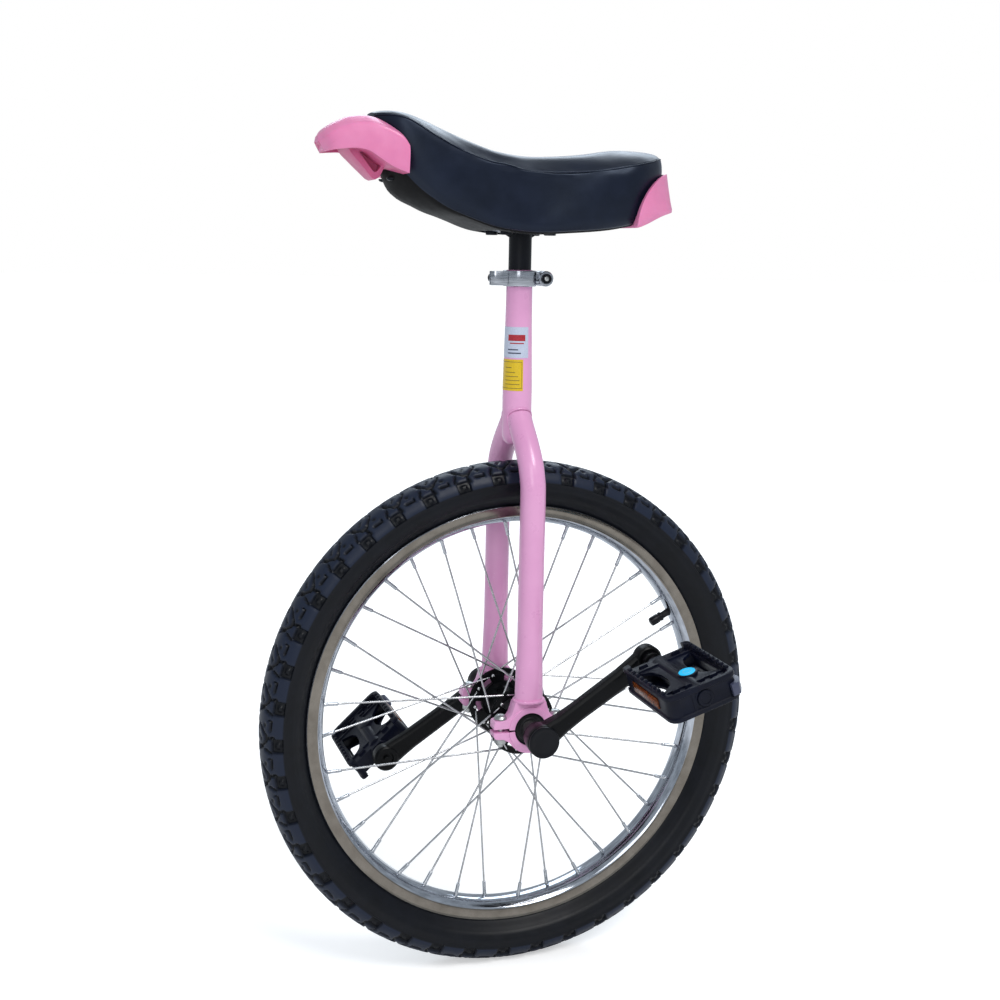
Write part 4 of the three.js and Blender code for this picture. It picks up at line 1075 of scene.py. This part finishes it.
def make_pedal(M, name, s):
    """A moulded platform pedal: deep rim, a pierced deck on both faces, barrel, studs, bars, reflectors."""
    L, H = 35.6, 12.5
    y0, y1 = 111.5, 208.5
    mid, off = 168.0, 5.0        # where the round sticker sits
    body = f"{name}_pedal"
    a = 1 if name == "left" else -1
    x_axis = a * CRANK_LENGTH * math.cos(math.radians(CRANK_ANGLE))
    z_axis = AXLE_Z + a * CRANK_LENGTH * math.sin(math.radians(CRANK_ANGLE))
    matrix = place_matrix(PEDAL_TILT[name], (x_axis, 0, z_axis))

    def flat(points):
        return [(x, s * y) for x, y in points]

    def outline(inset, r):
        pts = [(-L + inset, y0 + inset), (L - inset, y0 + inset), (L - inset, y1 - inset),
               (-L + inset, y1 - inset)]
        return flat(rounded_outline(pts, (6, 6, r, r)))

    def across(x0, x1, ya, yb, z0, z1):
        return block(min(x0, x1), max(x0, x1), min(s * ya, s * yb), max(s * ya, s * yb), z0, z1)

    # deep rim with a fuller band along each face
    rings = [[(x, y, z) for x, y in outline(i, r)] for z, i, r in
             ((-H, 1.0, 11), (-H + 0.5, 0.2, 12), (-H + 3.6, 0.0, 12), (-H + 4.4, 1.3, 12),
              (H - 4.4, 1.3, 12),
              (H - 3.6, 0.0, 12), (H - 0.5, 0.2, 12), (H, 1.0, 11))]
    shell = build(f"{name}_pedal_moulded", *loft(rings))
    fix_normals(shell)
    window = [(-L + 5.2, y0 + 5.2), (L - 5.2, y0 + 5.2), (L - 5.2, y1 - 5.2), (-L + 5.2, y1 - 5.2)]
    cut_away(shell, [plate(flat(rounded_outline(window, 8)), -H - 5, H + 5, "xy")])
    for e in (-1, 1):
        # seats for the reflectors
        cut_away(shell, [across(e * (L - 2.6), e * (L + 5), 131.5, 183.5, -5.4, 5.2)])
    # shallow panels in the outer end wall
    cut_away(shell, [across(-24, -12, y1 - 1.9, y1 + 3, -7.6, 7.4),
                     across(-9.6, 1.4, y1 - 1.9, y1 + 3, -7.6, 7.4)])
    # decks with three openings each
    deck = [(-L + 4, y0 + 4), (L - 4, y0 + 4), (L - 4, y1 - 4), (-L + 4, y1 - 4)]
    for face in (-1, 1):
        sheet = build("deck", *plate(flat(rounded_outline(deck, 8)), face * 4.5, face * DECK_TOP, "xy"))
        fix_normals(sheet)
        holes = [[(-6, 123), (6, 123), (3.4, 134), (-3.4, 134)]]
        for e in (-1, 1):
            holes.append([(e * 28.4, 129), (e * 17, 135), (e * 12.2, 148), (e * 11.8, 164), (e * 16, 174),
                          (e * 28.6, 184)])
        cut_away(sheet, [plate(flat(rounded_outline(h, 3.5 if i else 1.6)), face * 3, face * 11, "xy")
                         for i, h in enumerate(holes)])
        modified(shell, "BOOLEAN", object=sheet, operation="UNION", solver="EXACT")
        bpy.data.objects.remove(sheet)
    barrel = [(0.02, y0 - 2.4), (8.8, y0 - 2.4), (9.8, y0 - 1), (9.8, y1 - 1.5), (0.02, y1 - 1.5)]
    pads = [lathe([(0.02, face * 6), (9.6, face * 6), (9.6, face * 9.8), (9.0, face * 10.2),
                   (0.02, face * 10.2)],
                  48, "z", centre=(off, s * mid, 0)) for face in (-1, 1)]
    added(shell, [lathe([(r, s * y) for r, y in barrel], 48, "y"),
                  across(-L + 4, L - 4, 186, 188.6, -9, 9), across(-L + 4, L - 4, 126, 128.4, -9, 9),
                  *pads])
    # the crank side stands no higher than the deck
    cut_away(shell, [across(-L + 7.5, L - 7.5, y0 - 3, y0 + 6.5,
                            *sorted((face * DECK_TOP, face * 20))) for face in (-1, 1)])
    bore = [(0.02, y0 - 10), (6.75, y0 - 10), (6.75, 202), (7.6, 203), (7.6, y1 + 10), (0.02, y1 + 10)]
    cut_away(shell, [lathe([(r, s * y) for r, y in bore], 40, "y")])
    bevelled(shell, 0.6, 2, angle=40, smooth=35)
    parts = []
    for face in (-1, 1):
        z = face * (H - 0.1)
        for e in (-1, 1):
            for y in np.arange(y0 + 13, y1 - 10, 8.6):
                parts.append(tooth(e * (L - 3.6), s * y, z, 2.0, 2.5, face))
        for x in (-19, -6.4, 6.4, 19):
            parts.append(bar(x, s * (y1 - 9.4), face * DECK_TOP, 4.4, 1.5, 2.9, face))
            parts.append(bar(x, s * (y1 - 17.4), face * DECK_TOP, 3.6, 1.5, 2.9, face))
        for x in (-17, 17):
            parts.append(bar(x, s * (y0 + 9.4), face * DECK_TOP, 4.4, 1.5, 2.9, face))
    teeth = build(f"{name}_pedal_teeth", *joined(parts))
    fix_normals(teeth)
    for obj in (shell, teeth):
        obj.data.transform(matrix)
    finished(shell, M["pedal"], body, f"{name}_pedal_body")
    finished(teeth, M["pedal"], body)
    plug = [(0.02, 203.6), (7.2, 203.6), (7.4, 204), (7.4, y1 - 0.5), (7.1, y1 - 0.1), (5.2, y1),
            (5.0, y1 - 0.5),
            (0.02, y1 - 0.5)]
    end_cap = build(f"{name}_pedal_end_cap_moulded", *lathe([(r, s * y) for r, y in plug], 40, "y"))
    fix_normals(end_cap)
    end_cap.data.transform(matrix)
    finished(end_cap, M["pedal"], body, f"{name}_pedal_end_cap")
    for end, e in (("front", -1), ("rear", 1)):
        lens = build(f"{name}_pedal_{end}_reflector_lens",
                     *across(e * (L - 2.3), e * (L - 0.2), 132, 183, -5.0, 4.8))
        fix_normals(lens)
        bevelled(lens, 0.6, 2)
        lens.data.transform(matrix)
        finished(lens, M["amber"], body, f"{name}_pedal_{end}_reflector")
    clip_line = [(L - 3, y1 - 20), (L + 1.6, y1 - 18), (L + 3.4, y1 - 9), (L - 2.4, y1 + 0.6),
                 (L - 10, y1 + 1.8),
                 (L - 10, y1 - 3), (L - 4, y1 - 5)]
    clip = build(f"{name}_pedal_reflector_clip",
                 *plate(flat(rounded_outline(clip_line, 1.4)), -8.4, 2.6, "xy"))
    fix_normals(clip)
    bevelled(clip, 0.5, 2)
    clip.data.transform(matrix)
    finished(clip, M["grey"], body)
    if name == "left":
        dot = lathe([(0.02, 0), (7.6, 0), (7.7, 0.1), (7.6, 0.25), (0.02, 0.3)], 48, "z",
                    centre=(off, s * mid, 10.22))
        # painted highlight: a lighter, glossier blue ring on the flat sticker
        ring = lathe([(3.0, 0.28), (4.0, 0.28), (4.0, 0.36), (3.0, 0.36)], 40, "z",
                     centre=(off, s * mid, 10.22),
                     closed=True)
        for label, part, mat in (("pedal_sticker", dot, "blue_dot"),
                                 ("pedal_sticker_ring", ring, "blue_painted_highlight")):
            obj = build(label, *part)
            fix_normals(obj)
            obj.data.transform(matrix)
            finished(obj, M[mat], body)


def bar(x, y, z, half_x, half_y, tall, face):
    """A low bar with sloped sides, standing out of a pedal's deck."""
    rings = []
    for grow, h in ((0.0, -0.6), (0.0, 0.4), (-0.5, tall)):
        hx, hy = half_x + grow, half_y + grow
        rings.append([(x + a, y + b, z + face * h) for a,
                      b in ((-hx, -hy), (hx, -hy), (hx, hy), (-hx, hy))])
    return loft(rings)


def tooth(x, y, z, half_x, half_y, face):
    """A small pyramid stud with a flat top, standing out of a pedal's face."""
    rings = []
    for grow, h in ((1.0, -1.6), (1.0, 0.3), (0.7, 1.9), (0.5, 2.1)):
        hx, hy = half_x * grow, half_y * grow
        c = 0.35 * min(hx, hy)
        rings.append([(x + a, y + b, z + face * h) for a, b in
                      ((-hx, -hy + c), (-hx + c, -hy), (hx - c, -hy), (hx, -hy + c), (hx, hy - c),
                       (hx - c, hy),
                       (-hx + c, hy), (-hx, hy - c))])
    return loft(rings)


# ------------------------------------------------------------------ saddle
# x, half width, seam height, crown height, underside edge height and half width, keel drop
STATIONS = np.array([
    [-153, 21, 833.5, 839.4, 802, 12, 9], [-146, 32, 834.5, 840.6, 793, 20, 17],
    [-136, 40, 834.5, 840.3, 784, 28, 19.5], [-122, 45.5, 830.5, 837.5, 775, 34, 18],
    [-108, 49, 821, 830.5, 763.5, 37, 12.5], [-96, 51, 814.6, 824.3, 753, 40, 7],
    [-66, 54, 801, 811.3, 739.5, 45, 1], [-34, 57, 791.5, 801, 729.5, 50, 0],
    [0, 62, 786.5, 796.8, 726.5, 54, 0], [34, 70, 787, 798.5, 728.3, 60, 0],
    [68, 75.5, 790.5, 802.5, 731.5, 65, 0],
    [90, 75, 794, 806.8, 736, 65, 0], [108, 67, 797.5, 809, 741, 57, 0],
    [119, 58, 800, 809.8, 744.5, 48, 0],
    [128, 45, 801.5, 809.3, 748, 36, 0], [134, 32, 802, 807.5, 751, 25, 0],
    [138.5, 17, 801.5, 805, 756, 13, 0]],
    float)


def smooth_table(table, xs):
    """Monotone cubic interpolation of every column over the first one."""
    x, out = table[:, 0], [np.array(xs, float)]
    h = np.diff(x)
    for c in range(1, table.shape[1]):
        y = table[:, c]
        d = np.diff(y) / h
        m = np.zeros(len(y))
        for i in range(1, len(y) - 1):
            if d[i - 1] * d[i] > 0:
                w1, w2 = 2 * h[i] + h[i - 1], h[i] + 2 * h[i - 1]
                m[i] = (w1 + w2) / (w1 / d[i - 1] + w2 / d[i])
        m[0], m[-1] = d[0], d[-1]
        k = np.clip(np.searchsorted(x, xs) - 1, 0, len(h) - 1)
        t = (xs - x[k]) / h[k]
        out.append((1 + 2 * t) * (1 - t) ** 2 * y[k] + t * (1 - t) ** 2 * h[k] * m[k]
                   + t * t * (3 - 2 * t) * y[k + 1] + t * t * (t - 1) * h[k] * m[k + 1])
    return np.stack(out, 1)


SEAM_AT = 0.945        # the seam's place across the half width


def saddle_half(row, t=0.0):
    """Half section from the crown's middle round to the underside's middle, with the seam's index."""
    _, w, zs, zt, zb, wb, drop = row
    w, wb = w - t, max(4.0, wb - t)
    ys = w * SEAM_AT
    top = [(ys * k, zt - t - (zt - zs) * (0.62 * k ** 2.2 + 0.38 * k ** 7)) for k in np.linspace(0, 1, 19)]
    steps = np.cumsum([0, 0.9, 1.0, 1.4])
    side_ctl = [(ys, zs - t), (w * 0.984, zs - 4.2), (w, zs - 0.24 * (zs - zb)),
                (w * 0.987, zs - 0.55 * (zs - zb)),
                ((w * 0.6 + wb * 0.4), zs - 0.84 * (zs - zb)), (wb + 1.4, zb + 2.6), (wb, zb)]
    side = smooth_path([(y, z, 0) for y, z in side_ctl], 10)[:, :2]
    at = np.concatenate([[0], np.cumsum(np.hypot(*np.diff(side, axis=0).T))])
    want = np.concatenate([steps, np.linspace(steps[-1], at[-1], 17)[1:]])
    side = np.stack([np.interp(want, at, side[:, i]) for i in range(2)], 1)
    top = np.array(top)
    length = np.concatenate([[0], np.cumsum(np.hypot(*np.diff(top, axis=0).T))])
    want = np.concatenate([np.linspace(0, length[-1] - steps[-1], 12), length[-1] - steps[::-1][1:]])
    top = np.stack([np.interp(want, length, top[:, i]) for i in range(2)], 1)
    under = [(wb * k, zb - drop * (1 - k * k)) for k in np.linspace(1, 0, 8)][1:]
    half = np.concatenate([top, side[1:], under])
    return half, len(top) - 1


def nose_lean(x, seam_z, z):
    """How far the nose's front face falls back below the seam."""
    return 9.5 * np.clip((-122 - x) / 30, 0, 1) * np.clip((seam_z - z) / 46, 0, 1)


def saddle_ring(row, t=0.0, shrink=1.0):
    half, seam = saddle_half(row, t)
    pts = np.concatenate([half, (half[1:-1] * (-1, 1))[::-1]])
    centre = np.array((0, (row[3] + row[4]) / 2))
    pts = centre + (pts - centre) * shrink
    return np.column_stack([row[0] + nose_lean(row[0], row[2], pts[:, 1]), pts]), seam


def saddle_rings(t=0.0, n=84):
    xs = np.concatenate([np.linspace(-153, 119, n - 14), np.linspace(119, 138.5, 15)[1:]])
    rows = smooth_table(STATIONS, xs)
    rows[0, 0] += t
    rows[-1, 0] -= t
    rings = [saddle_ring(r, t)[0] for r in rows]
    first, last = rows[0].copy(), rows[-1].copy()
    ends = []
    for row, sign in ((first, -1), (last, 1)):
        caps = []
        for out, shrink in ((0.9, 0.94), (1.5, 0.8), (1.8, 0.5), (1.9, 0.2)):
            r = row.copy()
            r[0] += sign * out
            caps.append(saddle_ring(r, t, shrink)[0])
        ends.append(caps)
    return ends[0][::-1] + rings + ends[1], saddle_ring(rows[5])[1]


def inflated(source):
    """The cushion's shape under its own stuffing: remeshed, blown up as cloth, and capped."""
    sim = source.copy()
    sim.data = source.data.copy()
    bpy.context.scene.collection.objects.link(sim)
    modified(sim, "REMESH", mode="VOXEL", voxel_size=5 * MM)
    start = np.empty(len(sim.data.vertices) * 3)
    sim.data.vertices.foreach_get("co", start)
    cloth = sim.modifiers.new("Cloth", "CLOTH")
    cloth.settings.quality = 5
    cloth.settings.mass = 0.3
    cloth.settings.tension_stiffness = cloth.settings.compression_stiffness = 22
    cloth.settings.shear_stiffness = 10
    cloth.settings.bending_stiffness = 2.0
    cloth.settings.use_pressure = True
    cloth.settings.uniform_pressure_force = 4
    cloth.settings.effector_weights.gravity = 0
    cloth.point_cache.frame_start, cloth.point_cache.frame_end = 1, 20
    scene = bpy.context.scene
    for f in range(1, 21):
        scene.frame_set(f)
    dg = bpy.context.evaluated_depsgraph_get()
    mesh = bpy.data.meshes.new_from_object(sim.evaluated_get(dg))
    end = np.empty(len(mesh.vertices) * 3)
    mesh.vertices.foreach_get("co", end)
    sim.modifiers.clear()
    scene.frame_set(1)
    start, end = start.reshape(-1, 3), end.reshape(-1, 3)
    move = end - start
    far = np.linalg.norm(move, axis=1, keepdims=True)
    cap = 6 * MM
    move *= np.minimum(1, cap / np.maximum(far, 1e-9))
    sim.data = mesh
    mesh.vertices.foreach_set("co", (start + move).ravel())
    mesh.update()
    return sim


def make_cushion(M):
    rings, seam = saddle_rings(0.0)
    cushion = build("saddle_cushion_vinyl", *loft(rings))
    fix_normals(cushion)
    n = len(rings[0])
    inner = build("inflate_from", *loft(saddle_rings(2.2)[0]))
    fix_normals(inner)
    sim = inflated(inner)
    from mathutils.bvhtree import BVHTree
    bvh = BVHTree.FromPolygons([v.co for v in sim.data.vertices],
                               [p.vertices for p in sim.data.polygons])
    # the underside stays flat on the base
    share = [0.75 * min(1.0, max(0.0, (v.normal.z + 0.5) / 0.4)) for v in cushion.data.vertices]
    for v, part in zip(cushion.data.vertices, share):
        hit = bvh.find_nearest(v.co, 9 * MM)[0]
        if hit is not None:
            v.co = v.co.lerp(hit, part)
    bpy.data.objects.remove(sim)
    bpy.data.objects.remove(inner)
    me = cushion.data
    me.update()
    co = np.empty(len(me.vertices) * 3)
    no = np.empty(len(me.vertices) * 3)
    me.vertices.foreach_get("co", co)
    me.vertices.foreach_get("normal", no)
    co, no = co.reshape(-1, 3), no.reshape(-1, 3)
    m = len(rings)
    grid = co[:m * n].reshape(m, n, 3)
    normal = no[:m * n].reshape(m, n, 3)
    # even out the steps the remesh leaves, along the length only
    for _ in range(6):
        grid[5:-5] = 0.5 * grid[5:-5] + 0.25 * (grid[4:-6] + grid[6:-4])
    line = {}
    for side, at in ((-1, seam), (1, n - seam)):
        line[side] = grid[4:-4, at].copy() + normal[4:-4, at] * (-0.15 * MM)
        for step, depth in ((0, -1.5), (1, -0.35), (-1, -0.35), (2, 0.25), (-2, 0.25)):
            grid[4:-4, (at + step) % n] += normal[4:-4, (at + step) % n] * depth * MM
    xs = grid[:, :, 0] / MM
    ripple = 0.16 * np.sin(xs / 3.1 + 1.3 * np.sin(xs / 17.0))
    for at in (seam, n - seam):
        for step, part in ((3, 1.0), (-3, 1.0), (4, 0.6), (-4, 0.5)):
            k = (at + step) % n
            grid[4:-4, k] += normal[4:-4, k] * (ripple[4:-4, k] * part * MM)[:, None]
    me.vertices.foreach_set("co", co.ravel())
    me.update()
    modified(cushion, "SUBSURF", levels=1, render_levels=1)
    shade(cushion, 60)
    finished(cushion, M["vinyl"], "saddle", ("saddle_cover", "saddle_foam"))
    near, far = line[-1] / MM, line[1] / MM
    welt = np.concatenate([near, far[::-1]])
    keep = [0]
    for i in range(1, len(welt)):
        if np.linalg.norm(welt[i] - welt[keep[-1]]) > 1.6:
            keep.append(i)
    piece("saddle_seam_piping", tube(welt[keep], 0.75, seg=10, loop=True), M["vinyl"], "saddle",
          smooth=60)


def base_rings():
    rows = smooth_table(STATIONS, np.concatenate([np.linspace(-150, 119, 60),
                                                  np.linspace(119, 136.5, 10)[1:]]))
    rings = []
    for x, _, zs, _, zb, wb, drop in rows:
        half = [(0, zb - drop - 1.5), (0.3 * wb, zb - drop * 0.95 - 1.5),
                (0.6 * wb, zb - drop * 0.72 - 1.4),
                (0.85 * wb, zb - drop * 0.34 - 1.2), (0.95 * wb, zb - drop * 0.1 - 0.8),
                (0.98 * wb, zb + 0.8),
                (0.97 * wb, zb + 3), (0.9 * wb, zb + 8), (0.5 * wb, zb + 9), (0, zb + 9)]
        pts = half + [(-y, z) for y, z in half[-2:0:-1]]
        rings.append([(x + nose_lean(x, zs, z), y, z) for y, z in pts])
    return rings


def make_base(M):
    base = build("saddle_base_moulded", *loft(base_rings()))
    fix_normals(base)
    plate_z = span("saddle_nut_front_left")[1][2] + 0.3
    cut_away(base, [block(-36, 36, -36, 36, 700, plate_z + 4.3)])
    # counterbore for the rear bumper's screw
    cut_away(base, [lathe([(0.02, 700), (5.4, 700), (5.4, top), (0.02, top)], 32, "z", centre=(x, y, 0))
                    for x, y, top in ((124, 0, 744.5),)])
    shade(base, 40)
    finished(base, M["base"], "saddle", "saddle_base")


def hull(t):
    return loft(saddle_rings(t, 50)[0])


FRONT = np.array([[-201, 13, 813, 809, 797.3], [-197, 26, 818, 813.5, 798], [-184, 35, 826.5, 821, 799.3],
                  [-174, 40, 830.5, 824.5, 800], [-163, 44.5, 831.5, 825, 798],
                  [-153, 48, 830, 822.5, 791.6],
                  [-145, 50.5, 826.5, 819.5, 786], [-137, 53, 822, 815.5, 781.8],
                  [-131, 54.5, 817.5, 811, 779.4],
                  [-127, 55, 813, 805, 778]], float)


def make_front_bumper(M):
    xs = np.concatenate([np.linspace(-201, -190, 8), np.linspace(-190, -127, 34)[1:]])
    rows = smooth_table(FRONT, xs)
    rings = []
    for x, w, zc, zh, zb in rows:
        # crown, a flat slope down to a crisp ridge, and an upright side
        zr = zh - 2.2
        top = smooth_path([(0, zc, 0), (0.3 * w, zc - 0.1, 0), (0.56 * w, zc - 0.12 * (zc - zr), 0),
                           (0.74 * w, zc - 0.42 * (zc - zr), 0), (0.9 * w, zc - 0.78 * (zc - zr), 0),
                           (0.975 * w, zr, 0)], 4)[:, :2].tolist()
        side = smooth_path([(0.975 * w, zr, 0), (0.995 * w, zr - 3, 0), (w, zr - 8, 0),
                            (0.99 * w, 0.4 * zr + 0.6 * zb, 0), (0.965 * w, zb, 0)], 4)[1:, :2].tolist()
        half = top + side + [[0.6 * w, zb], [0.3 * w, zb], [0.0, zb]]
        back = 4.5 * np.clip((-186 - x) / 15, 0, 1)
        ring = [(x + back * min(1, max(0, (zr - z) / (zr - zb))), y, z) for y, z in half]
        rings.append(ring + [(px, -y, z) for px, y, z in ring[-2:0:-1]])
    nose = rows[0]
    tips = []
    for out, k in ((1.0, 0.86), (1.6, 0.55), (1.8, 0.2)):
        mid = np.array((0, (nose[2] + nose[4]) / 2))
        tips.append([(p[0] - out, *(mid + (np.array(p[1:]) - mid) * k)) for p in rings[0]])
    shell = build("front_bumper_moulded", *loft(tips[::-1] + rings))
    fix_normals(shell)
    pocket = plate(rounded_outline([(-195, -15), (-190, -26), (-166, -30), (-166, 30), (-190, 26),
                                    (-195, 15)], 5),
                   770, 812, "xy")
    cut_away(shell, [pocket])
    cut_away(shell, [hull(-0.6), block(-170, -100, -200, 200, 700, 773)])
    bevelled(shell, 0.7, 2, angle=38, smooth=42)
    keep_largest(shell)
    finished(shell, M["bumper"], "saddle", "front_bumper")
    # painted shade: the inside and the underside take a deeper pink copy of the plastic
    shell.data.materials.append(M["bumper_deep"])
    for p in shell.data.polygons:
        c = p.center / MM
        inward = p.normal.x * (-180 - c.x) - p.normal.y * c.y > 0
        inside = -196 < c.x < -165 and abs(c.y) < 30.5 and c.z < 812.5 and inward
        p.material_index = 1 if p.normal.z < -0.5 or inside else 0
    # tongue that runs down to the saddle base, scooped out on both sides for the fingers
    line = [(-178, 802), (-174.5, 797), (-163.5, 786), (-152.5, 774.8), (-149.1, 773.2), (-145.5, 775.4),
            (-138, 792.6), (-136, 800), (-136, 806), (-178, 806)]
    tongue = build("front_bumper_tongue", *plate(line, -22, 22))
    fix_normals(tongue)
    scoop = [(-167, 798), (-158.5, 788), (-151.8, 780.4), (-148.6, 780), (-145.6, 784), (-141.6, 799)]
    cut_away(tongue, [plate(rounded_outline(scoop, 1.2), *sorted((e * 8, e * 30))) for e in (-1, 1)])
    bevelled(tongue, 1.0, 2)
    for v in tongue.data.vertices:
        v.co.y *= float(np.interp(v.co.z / MM, [773, 786, 800], [0.6, 0.85, 1.0]))
    # painted shade: the whole tongue takes the deeper pink copy of the plastic
    finished(tongue, M["bumper_deep"], "saddle")


def keep_largest(obj):
    """Drops every island but the largest."""
    bm = bmesh.new()
    bm.from_mesh(obj.data)
    seen, islands = set(), []
    for v in bm.verts:
        if v in seen:
            continue
        stack, island = [v], []
        seen.add(v)
        while stack:
            a = stack.pop()
            island.append(a)
            for e in a.link_edges:
                b = e.other_vert(a)
                if b not in seen:
                    seen.add(b)
                    stack.append(b)
        islands.append(island)
    islands.sort(key=len)
    for island in islands[:-1]:
        bmesh.ops.delete(bm, geom=island, context="VERTS")
    bm.to_mesh(obj.data)
    bm.free()


REAR = np.array([[70, 79.5, 790, 800, 730, 73, 0], [90, 79.5, 793, 806, 733, 74, 0],
                 [100, 77, 795, 807, 736.5, 72, 0],
                 [112, 70.5, 797, 808, 741.5, 67, 0], [122, 62.5, 799, 808.5, 745, 60.5, 0],
                 [130, 55.5, 800, 808, 747, 54.5, 0], [140, 43, 801, 806, 749, 42, 0],
                 [147, 28.5, 801, 805, 750.5, 28, 0],
                 [152, 15, 801, 804, 752, 15, 0], [154.5, 6, 801, 802.5, 754, 7, 0]], float)


def make_rear_bumper(M):
    rows = smooth_table(REAR, np.concatenate([np.linspace(70, 130, 24), np.linspace(130, 154.5, 24)[1:]]))
    rings = []
    for row in rows:
        ring = saddle_ring(row)[0]
        tall, lean = row[2] - row[4], 10.5 * float(np.clip((row[0] - 100) / 45, 0, 1))
        ring[:, 0] -= lean * np.maximum(0, ring[:, 2] - row[4]) / tall
        rings.append(ring)
    shell = build("rear_bumper_moulded", *loft(rings))
    fix_normals(shell)
    cut_away(shell, [hull(-0.6)])
    reach = build("reach", *lathe([(0.02, -120), (50, -120), (50, 120), (0.02, 120)], 160, "y",
                                  centre=(139, 0, 736)))
    fix_normals(reach)
    modified(shell, "BOOLEAN", object=reach, operation="INTERSECT", solver="EXACT")
    bpy.data.objects.remove(reach)
    keep_largest(shell)
    bevelled(shell, 0.7, 3, angle=40, smooth=50)
    finished(shell, M["bumper"], "saddle", "rear_bumper")


def make_saddle(M):
    make_cushion(M)
    make_base(M)
    make_front_bumper(M)
    make_rear_bumper(M)
    for name, x, y, z in (("front_left", -134, -15, 775.5), ("front_right", -134, 15, 775.5),
                          ("rear", 124, 0, 744.5)):
        prof = [(0.02, -3.2), (2.2, -3.1), (3.8, -2.5), (4.7, -1.4), (4.8, -0.3), (1.8, -0.3), (1.8, 5),
                (0.02, 5)]
        piece(f"{name}_bumper_screw_plated", shifted(lathe(prof, 28, "z"), (x, y, z)), M["dark_steel"],
              "saddle",
              f"{name}_bumper_screw")


# ------------------------------------------------------------------ stage
def make_stage():
    floor = build("floor", *plate([(-30000, -30000), (30000, -30000), (30000, 30000), (-30000, 30000)],
                                  -1.0, 0.0,
                                  "xy"))
    f = Finish("floor_pale", Specular_IOR_Level=0.1, Emission_Color=(1, 1, 1, 1))
    f.colour(f.ramp(f.noise(900, 2, 0.5), [(0.3, srgb(241, 241, 241)), (0.7, srgb(246, 246, 246))]))
    f.roughness(f.noise(400, 3, 0.5), 0.8, 0.9)
    seen = f.tree.nodes.new("ShaderNodeLightPath").outputs["Is Camera Ray"]
    f.link(f.math("MULTIPLY", seen, 0.46), f.shader.inputs["Emission Strength"])
    floor.data.materials.append(f.mat)


def area(name, at, to, size, power, colour=(1, 1, 1)):
    lamp = bpy.data.lights.new(name, "AREA")
    lamp.shape, lamp.size, lamp.size_y = "RECTANGLE", size[0], size[1]
    lamp.energy, lamp.color = power, colour
    return placed(lamp, at, to)


def sun(name, at, strength, angle, colour=(1, 1, 1)):
    lamp = bpy.data.lights.new(name, "SUN")
    lamp.energy, lamp.angle, lamp.color = strength, math.radians(angle), colour
    return placed(lamp, at, (0, 0, 0))


def placed(lamp, at, to):
    obj = bpy.data.objects.new(lamp.name, lamp)
    bpy.context.scene.collection.objects.link(obj)
    at, to = Vector(at), Vector(to)
    obj.location = at
    obj.rotation_mode = "QUATERNION"
    obj.rotation_quaternion = (to - at).to_track_quat("-Z", "Y")
    obj.visible_camera = False
    return obj


def make_lights():
    """A white studio: softer around the object than the backdrop is to the eye."""
    world = bpy.data.worlds.new("studio")
    world.use_nodes = True
    tree = world.node_tree
    around = tree.nodes["Background"]
    around.inputs["Color"].default_value = (0.84, 0.92, 1.0, 1)
    around.inputs["Strength"].default_value = 0.46
    seen = tree.nodes.new("ShaderNodeBackground")
    seen.inputs["Color"].default_value = (1, 1, 1, 1)
    seen.inputs["Strength"].default_value = 1.0
    path = tree.nodes.new("ShaderNodeLightPath")
    mix = tree.nodes.new("ShaderNodeMixShader")
    tree.links.new(path.outputs["Is Camera Ray"], mix.inputs[0])
    tree.links.new(around.outputs[0], mix.inputs[1])
    tree.links.new(seen.outputs[0], mix.inputs[2])
    tree.links.new(mix.outputs[0], tree.nodes["World Output"].inputs["Surface"])
    bpy.context.scene.world = world
    sun("key", (0.25, -1.0, 1.35), 1.4, 24, (1.0, 0.985, 0.97))
    area("rim_light", (0.9, 2.6, 2.3), (0, 0, 0.7), (2.4, 1.2), 32, (0.80, 0.90, 1.0))
    area("front_box", (-1.2, -2.4, 1.7), (0, 0, 0.4), (1.0, 1.6), 13, (1.0, 1.0, 1.0))
    view = bpy.context.scene.view_settings
    view.view_transform = "Standard"
    view.look = "None"


def main():
    make_camera()
    M = make_materials()
    make_frame(M)
    make_stickers(M)
    make_clamp(M)
    make_post(M)
    make_saddle(M)
    make_tyre(M)
    make_rim(M)
    make_spokes(M)
    make_hub(M)
    make_valve(M)
    for name, s in SIDES:
        make_crank(M, name, s)
        make_pedal(M, name, s)
    make_stage()
    make_lights()


main()
bpy.context.view_layer.update()
